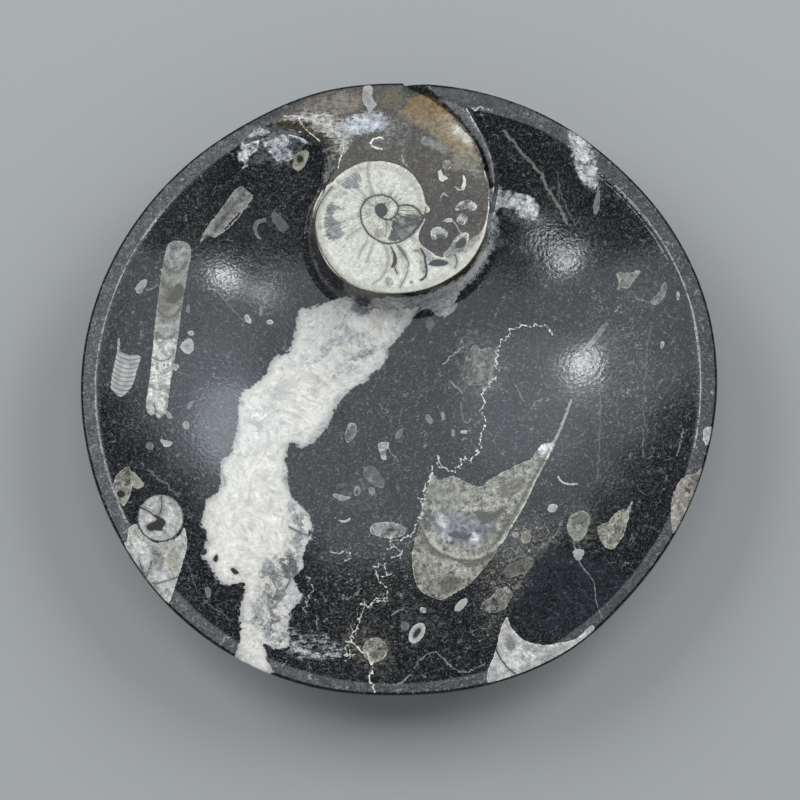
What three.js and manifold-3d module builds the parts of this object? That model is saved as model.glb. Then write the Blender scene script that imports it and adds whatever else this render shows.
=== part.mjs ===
// A round dish hand-carved from one slab of black fossil limestone: a flat rim, a hollow bowl and, at the back,
// a flat-topped head that shows a cut and polished ammonite. Rim and head share one flat top face.
// Millimetres, +Z up. The origin is on the foot, under the middle of the dish, and +Y runs to the head.
import * as THREE from 'three';
import { mergeVertices } from 'three/addons/utils/BufferGeometryUtils.js';
import Module from 'manifold-3d';

// Driving dimensions
const HEIGHT = 22; // foot to flat top
const FOOT_RADIUS = 60; // the part of the underside that is ground flat
const EDGE_RADIUS = 100.8; // nominal outer edge
const EDGE_BAND = 4; // upright band under the outer edge
const EDGE_LEAN = 0.4; // how far the band leans in at its foot
const EDGE_CHAMFER = 0.7; // broken corner between the band and the flat top
const FOOT_CHAMFER = 0.8;
const UNDERSIDE_BULGE = 3; // how far the side swells beyond a straight slope
const LIP_RADIUS = 96; // nominal inner edge of the rim, where the bowl starts
const BOWL_DEPTH = 14.5; // flat top to the lowest point of the bowl
const COVE_RADIUS = 4; // hollow at the foot of the head's front wall
const SHOULDER_DROP = 1.5; // slope between the head and the bowl, on the head's left
const GROOVE_DROP = 2.2; // shallow groove that parts the head from the rim, on its right
const CLEAR = 3; // how far a cutter stands above the flat top
const OVERSHOOT = 0.7; // how far a cutter runs past the wall that it ends on
const TURNS = 120; // facets around the dish
const SIDE_STEPS = 8; // facets down the swelling side
const BOWL_RINGS = 12; // facets from the middle of the bowl to its lip
const BLOCK_STEPS = 12; // facets up the walls of the head
const OUTLINE_STEPS = 64; // facets along a hand-cut outline
const ACROSS_STEPS = 4; // facets across a strip between two such lines

// The dish was cut by eye, so its edge and its lip wander: radius every 15 degrees, counter-clockwise from +X
const EDGE_STATIONS = [
  100.6, 101.2, 101.1, 100.8, 101.3, 101.2, 100.8, 101.2, 100.2, 100.2, 100.4, 100.8,
  101.1, 101.1, 101.4, 102.0, 102.1, 101.5, 100.4, 100.9, 101.2, 99.6, 99.3, 99.7,
];
const LIP_STATIONS = [
  95.2, 96.0, 95.9, 95.2, 95.9, 94.4, 94.0, 94.0, 94.8, 94.6, 95.3, 95.7,
  96.4, 96.5, 96.9, 97.4, 97.9, 97.7, 97.1, 96.9, 97.2, 96.2, 95.6, 95.1,
];

// Hand-cut lines on the flat top, as seen from above. Each starts at the lip or the outer edge.
const SPUR_EDGE = [[22.1, 91.5], [25.6, 85.0], [28.8, 77.9], [30.6, 71.5], [31.0, 65.5]];
const HEAD_FRONT = [
  [28.9, 56.0], [26.8, 46.0], [20.6, 36.3], [10.3, 29.9], [-1.3, 27.7], [-12.8, 29.4], [-22.2, 35.8],
  [-27.0, 46.0], [-26.9, 56.7], [-24.1, 63.9],
];
const SHOULDER_FOOT = [[-22.4, 72.0], [-23.6, 77.2], [-30.8, 82.7], [-39.1, 84.5], [-45.5, 82.5], [-50.5, 80.4]];
const SHOULDER_TOP = [
  [-24.1, 63.9], [-19.2, 74.5], [-20.3, 82.1], [-27.9, 87.1], [-38.1, 87.4], [-45.0, 84.8], [-50.5, 80.4],
];
const HEAD_RIGHT = [[-0.5, 102.0], [3.0, 98.5], [9.9, 94.9], [19.1, 87.1], [25.8, 76.9], [28.5, 63.6], [28.9, 57.5]];
const GROOVE_RIM = [[8.5, 103.0], [12.0, 97.5], [22.6, 92.2]];
const GROOVE_TIP = [30.5, 57.5];
const GROOVE_SINKS_FROM = 0.35; // share of the groove's length, from the edge, after which its floor sinks
const HEAD_MIDDLE = [0, 56];
const COVE_FADE = 10; // the cove dies out within this distance of the head's middle, front to back
const BEHIND_HEAD = [[-60, 95], [0, 112.8], [30, 105]]; // outside the dish, where the head's block ends in air

// The same line pushed sideways, to the left of its run
const pushed = (line, distance) =>
  line.map(([x, y], i) => {
    const [ax, ay] = line[Math.max(i - 1, 0)];
    const [bx, by] = line[Math.min(i + 1, line.length - 1)];
    const length = Math.hypot(bx - ax, by - ay);
    return [x - (distance * (by - ay)) / length, y + (distance * (bx - ax)) / length];
  });

const wasm = await Module();
wasm.setup();

// Radius of a hand-cut ring at any angle: a smooth closed curve through its stations
function radiusAt(stations, angle) {
  const count = stations.length;
  const place = ((angle / (2 * Math.PI)) * count + count) % count;
  const at = (i) => stations[(Math.floor(place) + i + count) % count];
  const t = place % 1;
  const slopeA = (at(1) - at(-1)) / 2;
  const slopeB = (at(2) - at(0)) / 2;
  const a = 2 * (at(0) - at(1)) + slopeA + slopeB;
  const b = 3 * (at(1) - at(0)) - 2 * slopeA - slopeB;
  return ((a * t + b) * t + slopeA) * t + at(0);
}

// Moves each vertex of a geometry in place
function reshape(geometry, move) {
  const position = geometry.attributes.position;
  const point = new THREE.Vector3();
  for (let i = 0; i < position.count; i += 1) {
    move(point.fromBufferAttribute(position, i));
    position.setXYZ(i, point.x, point.y, point.z);
  }
  return geometry;
}

// A solid for cutting and joining, from a closed geometry
function solidOf(geometry) {
  geometry.deleteAttribute('normal');
  geometry.deleteAttribute('uv');
  const welded = mergeVertices(geometry, 1e-4);
  const corners = welded.index.array;
  const triVerts = [];
  for (let i = 0; i < corners.length; i += 3) {
    const [a, b, c] = corners.slice(i, i + 3);
    if (a !== b && b !== c && c !== a) triVerts.push(a, b, c);
  }
  const vertProperties = welded.attributes.position.array;
  return new wasm.Manifold(new wasm.Mesh({ numProp: 3, vertProperties, triVerts: Uint32Array.from(triVerts) }));
}

// A turned form with its axis upright, pushed in and out around to follow a hand-cut ring beyond a still radius
function turned(profile, stations, nominal, stillRadius) {
  const lathe = new THREE.LatheGeometry(profile, TURNS);
  lathe.rotateX(Math.PI / 2);
  return reshape(lathe, (p) => {
    const radius = Math.hypot(p.x, p.y);
    const share = THREE.MathUtils.smoothstep(radius, stillRadius, nominal);
    const stretch = 1 + share * (radiusAt(stations, Math.atan2(p.y, p.x)) / nominal - 1);
    p.x *= stretch;
    p.y *= stretch;
  });
}

const curveThrough = (line) => new THREE.SplineCurve(line.map(([x, y]) => new THREE.Vector2(x, y)));

// A prism over an outline, standing from z = 0 up to a height
const prism = (outline, height, steps) =>
  new THREE.ExtrudeGeometry(new THREE.Shape(outline), { depth: height, steps, bevelEnabled: false });

// The slab: flat foot, swelling side, upright band, broken corner, flat top
function slab() {
  const side = new THREE.QuadraticBezierCurve(
    new THREE.Vector2(FOOT_RADIUS + FOOT_CHAMFER, FOOT_CHAMFER),
    new THREE.Vector2((FOOT_RADIUS + EDGE_RADIUS) / 2 + 2 * UNDERSIDE_BULGE, HEIGHT / 2 - 2 * UNDERSIDE_BULGE),
    new THREE.Vector2(EDGE_RADIUS - EDGE_LEAN, HEIGHT - EDGE_BAND),
  );
  const profile = [
    new THREE.Vector2(0, 0),
    new THREE.Vector2(FOOT_RADIUS, 0),
    ...side.getPoints(SIDE_STEPS),
    new THREE.Vector2(EDGE_RADIUS, HEIGHT - EDGE_CHAMFER),
    new THREE.Vector2(EDGE_RADIUS - EDGE_CHAMFER, HEIGHT),
    new THREE.Vector2(0, HEIGHT),
  ];
  return solidOf(turned(profile, EDGE_STATIONS, EDGE_RADIUS, FOOT_RADIUS));
}

// What the hollowing wheel takes out: a shallow dome of air, sunk from the lip to the middle
function hollow() {
  const profile = [];
  for (let i = 0; i <= BOWL_RINGS; i += 1) {
    const share = Math.sqrt(i / BOWL_RINGS);
    profile.push(new THREE.Vector2(LIP_RADIUS * share, HEIGHT - BOWL_DEPTH * (1 - share * share)));
  }
  profile.push(new THREE.Vector2(LIP_RADIUS * Math.sqrt(1 + CLEAR / BOWL_DEPTH), HEIGHT + CLEAR));
  profile.push(new THREE.Vector2(0, HEIGHT + CLEAR));
  return solidOf(turned(profile, LIP_STATIONS, LIP_RADIUS, 0));
}

// The block that the wheel leaves standing: the head with the rim's spur on its right and its shoulder on its left,
// upright but for a cove where the front wall meets the bowl
function block() {
  const outline = curveThrough([...SPUR_EDGE, ...HEAD_FRONT, ...SHOULDER_FOOT]).getPoints(2 * OUTLINE_STEPS);
  const behind = BEHIND_HEAD.map(([x, y]) => new THREE.Vector2(x, y));
  const floor = HEIGHT - BOWL_DEPTH;
  const top = HEIGHT + CLEAR + OVERSHOOT;
  const geometry = prism([...outline, ...behind], top - floor, BLOCK_STEPS);
  const middle = new THREE.Vector2(...HEAD_MIDDLE);
  reshape(geometry, (p) => {
    const above = Math.min(p.z, COVE_RADIUS) / COVE_RADIUS;
    const flare = COVE_RADIUS * (1 - Math.sqrt(above * (2 - above)));
    const front = THREE.MathUtils.clamp((middle.y + COVE_FADE - p.y) / (2 * COVE_FADE), 0, 1);
    const away = new THREE.Vector2(p.x, p.y).sub(middle).normalize().multiplyScalar(flare * front);
    p.set(p.x + away.x, p.y + away.y, p.z + floor);
  });
  return solidOf(geometry);
}

// A shallow sloping cut between two lines that run side by side: a bar bent to fill the strip between them. Its floor
// lies a drop below the flat top, given across the strip (0 at the right-hand line, 1 at the left) and along it.
function cutBetween(rightLine, leftLine, dropAt) {
  const right = curveThrough(rightLine);
  const left = curveThrough(leftLine);
  return solidOf(
    reshape(new THREE.BoxGeometry(1, 1, 1, OUTLINE_STEPS / 2, ACROSS_STEPS, 1), (p) => {
      const along = p.x + 0.5;
      const across = p.y + 0.5;
      const { x, y } = right.getPointAt(along).lerp(left.getPointAt(along), across);
      p.set(x, y, HEIGHT + (p.z > 0 ? CLEAR : -dropAt(across, along)));
    }),
  );
}

// The shoulder falls from the head's flat top to the top of its left wall
function shoulder() {
  const foot = pushed([HEAD_FRONT.at(-1), ...SHOULDER_FOOT], OVERSHOOT);
  return cutBetween(SHOULDER_TOP, foot, (across) => SHOULDER_DROP * across);
}

// The groove is a hollow, deepest against the head, and all of it sinks towards the tip of the spur
function groove() {
  const outer = [...GROOVE_RIM, ...pushed(SPUR_EDGE, OVERSHOOT).slice(1), GROOVE_TIP];
  return cutBetween(HEAD_RIGHT, outer, (across, along) => {
    const fall = GROOVE_DROP * THREE.MathUtils.smoothstep(along, GROOVE_SINKS_FROM, 1);
    return fall + GROOVE_DROP * (1 - across) ** 2;
  });
}

const plate = slab().subtract(hollow().subtract(block())).subtract(shoulder()).subtract(groove());
const { vertProperties, triVerts } = plate.getMesh();
const plateGeometry = new THREE.BufferGeometry();
plateGeometry.setAttribute('position', new THREE.BufferAttribute(vertProperties, 3));
plateGeometry.setIndex(new THREE.BufferAttribute(triVerts, 1));
plateGeometry.computeVertexNormals();

const blackLimestone = new THREE.MeshStandardMaterial({ color: 0x2b2b2e, roughness: 0.35, metalness: 0 });
const plateMesh = new THREE.Mesh(plateGeometry, blackLimestone);
plateMesh.name = 'plate';

const group = new THREE.Group();
group.add(plateMesh);
export default group;
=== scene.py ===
from math import cos, radians, sin, tau

import bpy
import numpy as np
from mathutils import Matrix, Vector
from mathutils.geometry import delaunay_2d_cdt
from mathutils.kdtree import KDTree


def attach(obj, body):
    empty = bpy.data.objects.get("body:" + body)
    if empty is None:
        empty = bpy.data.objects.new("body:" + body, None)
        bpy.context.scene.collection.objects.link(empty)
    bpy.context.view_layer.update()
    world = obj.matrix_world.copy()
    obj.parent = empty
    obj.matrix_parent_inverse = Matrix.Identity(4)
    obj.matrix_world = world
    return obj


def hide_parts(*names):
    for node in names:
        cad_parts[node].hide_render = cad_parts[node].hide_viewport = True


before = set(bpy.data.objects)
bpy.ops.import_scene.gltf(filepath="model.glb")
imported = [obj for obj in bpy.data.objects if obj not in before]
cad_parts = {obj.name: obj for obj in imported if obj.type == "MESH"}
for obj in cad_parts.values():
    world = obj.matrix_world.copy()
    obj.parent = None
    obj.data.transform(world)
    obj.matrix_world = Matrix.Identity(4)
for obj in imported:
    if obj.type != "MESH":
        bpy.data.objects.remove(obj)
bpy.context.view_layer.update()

MM = 0.001

# The view. A long lens looks down on the dish from the side of the bowl, 15 degrees off the vertical. The
# markings further down are drawn in the same frame, 800 pixels square, so its values stand here.
FRAME_SIZE = 800
LENS = 85
SENSOR = 36
TILT = radians(15)
RANGE = 596 * MM
AIM = Vector((0, -7.8, 22)) * MM
sight = Vector((0, sin(TILT), -cos(TILT)))
upward = Vector((0, cos(TILT), sin(TILT)))
eye = AIM - RANGE * sight

lens_data = bpy.data.cameras.new("camera")
lens_data.lens = LENS
lens_data.sensor_width = SENSOR
camera = bpy.data.objects.new("camera", lens_data)
camera.location = eye
camera.rotation_euler = (TILT, 0, 0)
bpy.context.scene.collection.objects.link(camera)
bpy.context.scene.camera = camera


def on_frame(places):
    """Where places on the dish, in mm, show in the frame, in pixels from its top left corner."""
    away = places * MM - np.array(eye)
    pixels = FRAME_SIZE * LENS / SENSOR / (away @ np.array(sight))
    x = FRAME_SIZE / 2 + away[:, 0] * pixels
    y = FRAME_SIZE / 2 - away @ np.array(upward) * pixels
    return np.stack([x, y], axis=1)


# The dish. One slab of black limestone, ground to a round plate, hollowed and polished by hand. A head with a
# flat top was left standing at the back of the rim, parted from the rim's spur by a groove on its right and
# with a sloping shoulder on its left. All its measures are in mm.
HEIGHT = 22
FOOT_RADIUS = 60
FOOT_CHAMFER = 0.8
EDGE_RADIUS = 100.8
EDGE_BAND = 4
EDGE_LEAN = 0.4
EDGE_CHAMFER = 0.7
UNDERSIDE_BULGE = 3
BOWL_DEPTH = 14.5
LIP_ROUNDING = 0.14
COVE_RADIUS = 4
COVE_SHARE = 0.4
WALL_LEAN = 0.9
LEAST_LEAN = 0.1
SHOULDER_DROP = 1.5
GROOVE_DROP = 2.2
GROOVE_WALL = 0.35
GROOVE_SINKS_FROM = 0.35
EDGE_ROUNDING = 0.3
BLOCK_FROM = 20
FAR_OFF = 99.0
TINY = 1e-6

# Radius of the edge and of the bowl's lip every 15 degrees, counter-clockwise from +X
EDGE_STATIONS = [
    100.6, 101.2, 101.1, 100.8, 101.3, 101.2, 100.8, 101.2, 100.2, 100.2, 100.4, 100.8,
    101.1, 101.1, 101.4, 102.0, 102.1, 101.5, 100.4, 100.9, 101.2, 99.6, 99.3, 99.7,
]
LIP_STATIONS = [
    95.2, 96.0, 95.9, 95.2, 95.9, 94.4, 94.0, 94.0, 94.8, 94.6, 95.3, 95.7,
    96.4, 96.5, 96.9, 97.4, 97.9, 97.7, 97.1, 96.9, 97.2, 96.2, 95.6, 95.1,
]

# The head and what lies beside it, seen from above: points on the edges that the carver left
SPUR_EDGE = [(22.1, 91.5), (25.6, 85.0), (28.8, 77.9), (30.6, 71.5), (31.0, 65.5)]
HEAD_FRONT = [
    (28.9, 56.0), (26.8, 46.0), (20.6, 36.3), (10.3, 29.9), (-1.3, 27.7), (-12.8, 29.4), (-22.2, 35.8),
    (-27.0, 46.0), (-26.9, 56.7), (-24.1, 63.9),
]
SHOULDER_FOOT = [(-22.4, 72.0), (-23.6, 77.2), (-30.8, 82.7), (-39.1, 84.5), (-45.5, 82.5), (-50.5, 80.4)]
SHOULDER_TOP = [
    (-24.1, 63.9), (-19.2, 74.5), (-20.3, 82.1), (-27.9, 87.1), (-38.1, 87.4), (-45.0, 84.8), (-50.5, 80.4),
]
HEAD_RIGHT = [(-0.5, 102.0), (3.0, 98.5), (9.9, 94.9), (19.1, 87.1), (25.8, 76.9), (28.5, 63.6), (28.9, 57.5)]
GROOVE_RIM = [(8.5, 103.0), (12.0, 97.5), (22.6, 92.2)]
GROOVE_TIP = (30.5, 57.5)
BEHIND_HEAD = [(-60, 95), (0, 112.8), (30, 105)]

# how the curves are drawn: each span between two points also heeds the point before and the point after
NEIGHBOURS = (-1, 0, 1, 2)


def smooth_between(before, a, b, after, t):
    """A share t of the way from a to b, on a smooth curve that comes from before and goes on to after."""
    rise_a, rise_b = (b - before) / 2, (after - a) / 2
    bend = (2 * (a - b) + rise_a + rise_b) * t + 3 * (b - a) - 2 * rise_a - rise_b
    return bend * t * t + rise_a * t + a


def radius_at(stations, angle):
    """Radius of a hand-cut ring at each angle: a smooth closed curve through its stations."""
    place = np.mod(angle / tau, 1) * len(stations)
    first = np.floor(place).astype(int)
    four = (np.array(stations)[(first + i) % len(stations)] for i in NEIGHBOURS)
    return smooth_between(*four, place - first)


def curve_through(points, spacing, closed=False):
    """A smooth curve through points, with a point at about every spacing along it."""
    points = np.array(points, float)
    count = len(points)
    spans = count if closed else count - 1
    line = []
    for i in range(spans):
        pick = [(i + k) % count if closed else min(max(i + k, 0), count - 1) for k in NEIGHBOURS]
        before, a, b, after = points[pick]
        steps = max(1, round(np.linalg.norm(b - a) / spacing))
        line += [smooth_between(before, a, b, after, t) for t in np.arange(steps) / steps]
    if not closed:
        line.append(points[-1])
    return np.array(line)


def along_line(places, line, closed=False):
    """How far each place lies from a line, and how far along the line its nearest point is, 0 to 1."""
    starts = line if closed else line[:-1]
    runs = (np.roll(line, -1, axis=0) if closed else line[1:]) - starts
    lengths = np.maximum(np.linalg.norm(runs, axis=1), 1e-9)
    before = np.concatenate([[0], np.cumsum(lengths)[:-1]])
    nearest = np.full(len(places), np.inf)
    share = np.zeros(len(places))
    for start, run, length, passed in zip(starts, runs, lengths, before):
        away = places - start
        t = np.clip(away @ run / length**2, 0, 1)
        gap = np.hypot(away[:, 0] - t * run[0], away[:, 1] - t * run[1])
        closer = gap < nearest
        nearest[closer] = gap[closer]
        share[closer] = (passed + t[closer] * length) / lengths.sum()
    return nearest, share


def within(places, outline):
    """Whether each place lies inside a closed outline."""
    held = ((places >= np.min(outline, axis=0)) & (places <= np.max(outline, axis=0))).all(axis=1)
    x, y = places[held].T
    crossings = np.zeros(len(x), bool)
    for (ax, ay), (bx, by) in zip(outline, np.roll(outline, -1, axis=0)):
        if ay != by:
            crossings ^= ((ay > y) != (by > y)) & (x < (bx - ax) * (y - ay) / (by - ay) + ax)
    inside = np.zeros(len(places), bool)
    inside[held] = crossings
    return inside


def smoothstep(value, low, high):
    """0 below low, 1 above high, smooth between them."""
    t = np.clip((value - low) / (high - low), 0, 1)
    return t * t * (3 - 2 * t)


OUTLINE_SPACING = 0.5
ON_LINE = 0.05
NEAR_BANK = 0.3
SHOULDER_EASE = 2
block_edge = curve_through(SPUR_EDGE + HEAD_FRONT + SHOULDER_FOOT, OUTLINE_SPACING)
block_outline = np.vstack([block_edge, BEHIND_HEAD])
shoulder_top = curve_through(SHOULDER_TOP, OUTLINE_SPACING)
shoulder_foot = curve_through(HEAD_FRONT[-1:] + SHOULDER_FOOT, OUTLINE_SPACING)
shoulder_outline = np.vstack([shoulder_top, shoulder_foot[::-1]])
groove_wall = curve_through(HEAD_RIGHT, OUTLINE_SPACING)
groove_bank = curve_through(GROOVE_RIM + SPUR_EDGE[1:] + [GROOVE_TIP], OUTLINE_SPACING)
groove_outline = np.vstack([groove_wall, groove_bank[::-1]])


def upper_face(places):
    """Height of the dish's upper face, and how far each place lies outside the block with the head, in mm."""
    radius = np.hypot(*places.T)
    lip = radius_at(LIP_STATIONS, np.arctan2(places[:, 1], places[:, 0]))
    sunk = BOWL_DEPTH * (1 - (radius / lip) ** 2)
    bowl = (sunk + np.sqrt(sunk**2 + LIP_ROUNDING**2)) / 2

    around = places[:, 1] > BLOCK_FROM
    to_block, share = np.full(len(places), FAR_OFF), np.zeros(len(places))
    to_block[around], share[around] = along_line(places[around], block_edge)
    inside = within(places, block_outline)
    drop = np.zeros(len(places))
    on_shoulder = within(places, shoulder_outline)
    to_top, _ = along_line(places[on_shoulder], shoulder_top)
    to_foot, _ = along_line(places[on_shoulder], shoulder_foot)
    drop[on_shoulder] = SHOULDER_DROP * to_top / np.maximum(to_top + to_foot, TINY)
    in_groove = within(places, groove_outline)
    to_wall, along = along_line(places[in_groove], groove_wall)
    to_bank, _ = along_line(places[in_groove], groove_bank)
    across = to_wall / np.maximum(to_wall + to_bank, TINY)
    hollow = GROOVE_DROP * smoothstep(along, GROOVE_SINKS_FROM, 1) + GROOVE_DROP * (1 - across) ** 2
    drop[in_groove] = hollow * np.clip(to_wall / GROOVE_WALL, 0, 1)
    close = np.clip(1 - to_block / EDGE_ROUNDING, 0, 1)
    rounding = EDGE_ROUNDING * np.clip(bowl / COVE_RADIUS, 0, 1)
    drop += rounding * (1 - np.sqrt(1 - close**2))

    edge_drop = np.interp(share, edge_shares, edge_drops) + rounding
    fall = np.maximum(bowl - edge_drop, 0)
    cove = np.minimum(COVE_RADIUS, COVE_SHARE * fall)
    lean = WALL_LEAN * np.clip(fall / COVE_RADIUS, LEAST_LEAN, 1)
    beyond = np.clip(to_block - lean, 0, cove)
    low = fall - cove + np.sqrt(np.maximum(cove**2 - (cove - beyond) ** 2, 0))
    wall = edge_drop + np.where(to_block < lean, (fall - cove) * to_block / lean, low)
    near = to_block < WALL_LEAN + COVE_RADIUS
    depth = np.where(inside, drop, np.where(near, np.minimum(wall, np.maximum(bowl, edge_drop)), bowl))
    return HEIGHT - depth, np.where(inside, -to_block, to_block)


def drops_along_block():
    """Where the points of the block's edge lie along it, 0 to 1, and how far each is below the flat top."""
    _, shares = along_line(block_edge, block_edge)
    to_foot, _ = along_line(block_edge, shoulder_foot)
    to_top, _ = along_line(block_edge, shoulder_top)
    drops = np.where(to_foot < ON_LINE, SHOULDER_DROP * np.clip(to_top / SHOULDER_EASE, 0, 1), 0)
    to_bank, _ = along_line(block_edge, groove_bank)
    _, along = along_line(block_edge, groove_wall)
    sinking = GROOVE_DROP * smoothstep(along, GROOVE_SINKS_FROM, 1)
    return shares, np.where(to_bank < NEAR_BANK, sinking, drops)


edge_shares, edge_drops = drops_along_block()

# The markings. What the carving cut through: a vein of white calcite, the coiled shell in the head,
# straight shells, small cut shells and stylolites. They are grown into the stone and were polished with it.
# Outlines and lines are in frame pixels, PIXEL mm each, colours in linear light.
PIXEL = 0.316
CREAM = (0.80, 0.785, 0.675)
CHALK = (0.46, 0.47, 0.46)
TAN = (0.36, 0.345, 0.29)
ASH = (0.20, 0.205, 0.205)
PINK = (0.34, 0.305, 0.26)
SMOKE = (0.11, 0.115, 0.12)


def oval(x, y, width, height, turn=0, points=14):
    """An oval outline about a place, turned clockwise by so many degrees."""
    angle = np.arange(points) * tau / points
    u, v = width / 2 * np.cos(angle), height / 2 * np.sin(angle)
    c, s = cos(radians(turn)), sin(radians(turn))
    return np.stack([x + u * c - v * s, y + u * s + v * c], axis=1)


def ring(*shape):
    """An oval line that runs round to its start."""
    outline = oval(*shape)
    return np.vstack([outline, outline[:1]])


# The outline of the calcite vein
VEIN = [
    (298, 311), (304, 307), (311, 308), (318, 305), (326, 302), (336, 299), (345, 297), (352, 297),
    (357, 303), (361, 310), (366, 306), (374, 300), (384, 297), (398, 297), (410, 297), (422, 295),
    (434, 291), (446, 286), (457, 279), (468, 270), (477, 261), (483, 250), (486, 243), (488, 249),
    (484, 259), (477, 270), (469, 279), (463, 288), (458, 298), (455, 306), (450, 313), (443, 316),
    (436, 314), (430, 308), (422, 307), (418, 311), (411, 320), (405, 329), (398, 338), (392, 345),
    (388, 350), (386, 360), (379, 369), (371, 375), (360, 384), (350, 391), (341, 398), (335, 408),
    (331, 417), (325, 427), (317, 437), (310, 444), (302, 447), (294, 443), (289, 444), (286, 454),
    (285, 462), (287, 471), (286, 479), (289, 489), (293, 499), (299, 504), (304, 509), (310, 517),
    (313, 526), (310, 534), (311, 540), (306, 548), (303, 557), (304, 567), (298, 573), (293, 578),
    (299, 588), (302, 599), (295, 606), (291, 612), (289, 622), (288, 632), (290, 641), (286, 648),
    (279, 650), (272, 648), (265, 646), (267, 654), (269, 663), (272, 672), (262, 678), (248, 672),
    (236, 664), (238, 648), (239, 632), (240, 616), (242, 600), (244, 585), (238, 585), (229, 586),
    (222, 583), (216, 577), (212, 569), (208, 562), (201, 556), (204, 548), (207, 541), (203, 534),
    (201, 525), (203, 514), (206, 502), (213, 496), (218, 489), (222, 482), (221, 472), (220, 464),
    (226, 458), (232, 450), (235, 440), (237, 428), (238, 414), (239, 402), (243, 391), (250, 386),
    (259, 380), (267, 372), (271, 362), (280, 355), (290, 350), (293, 340), (296, 326),
]

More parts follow.
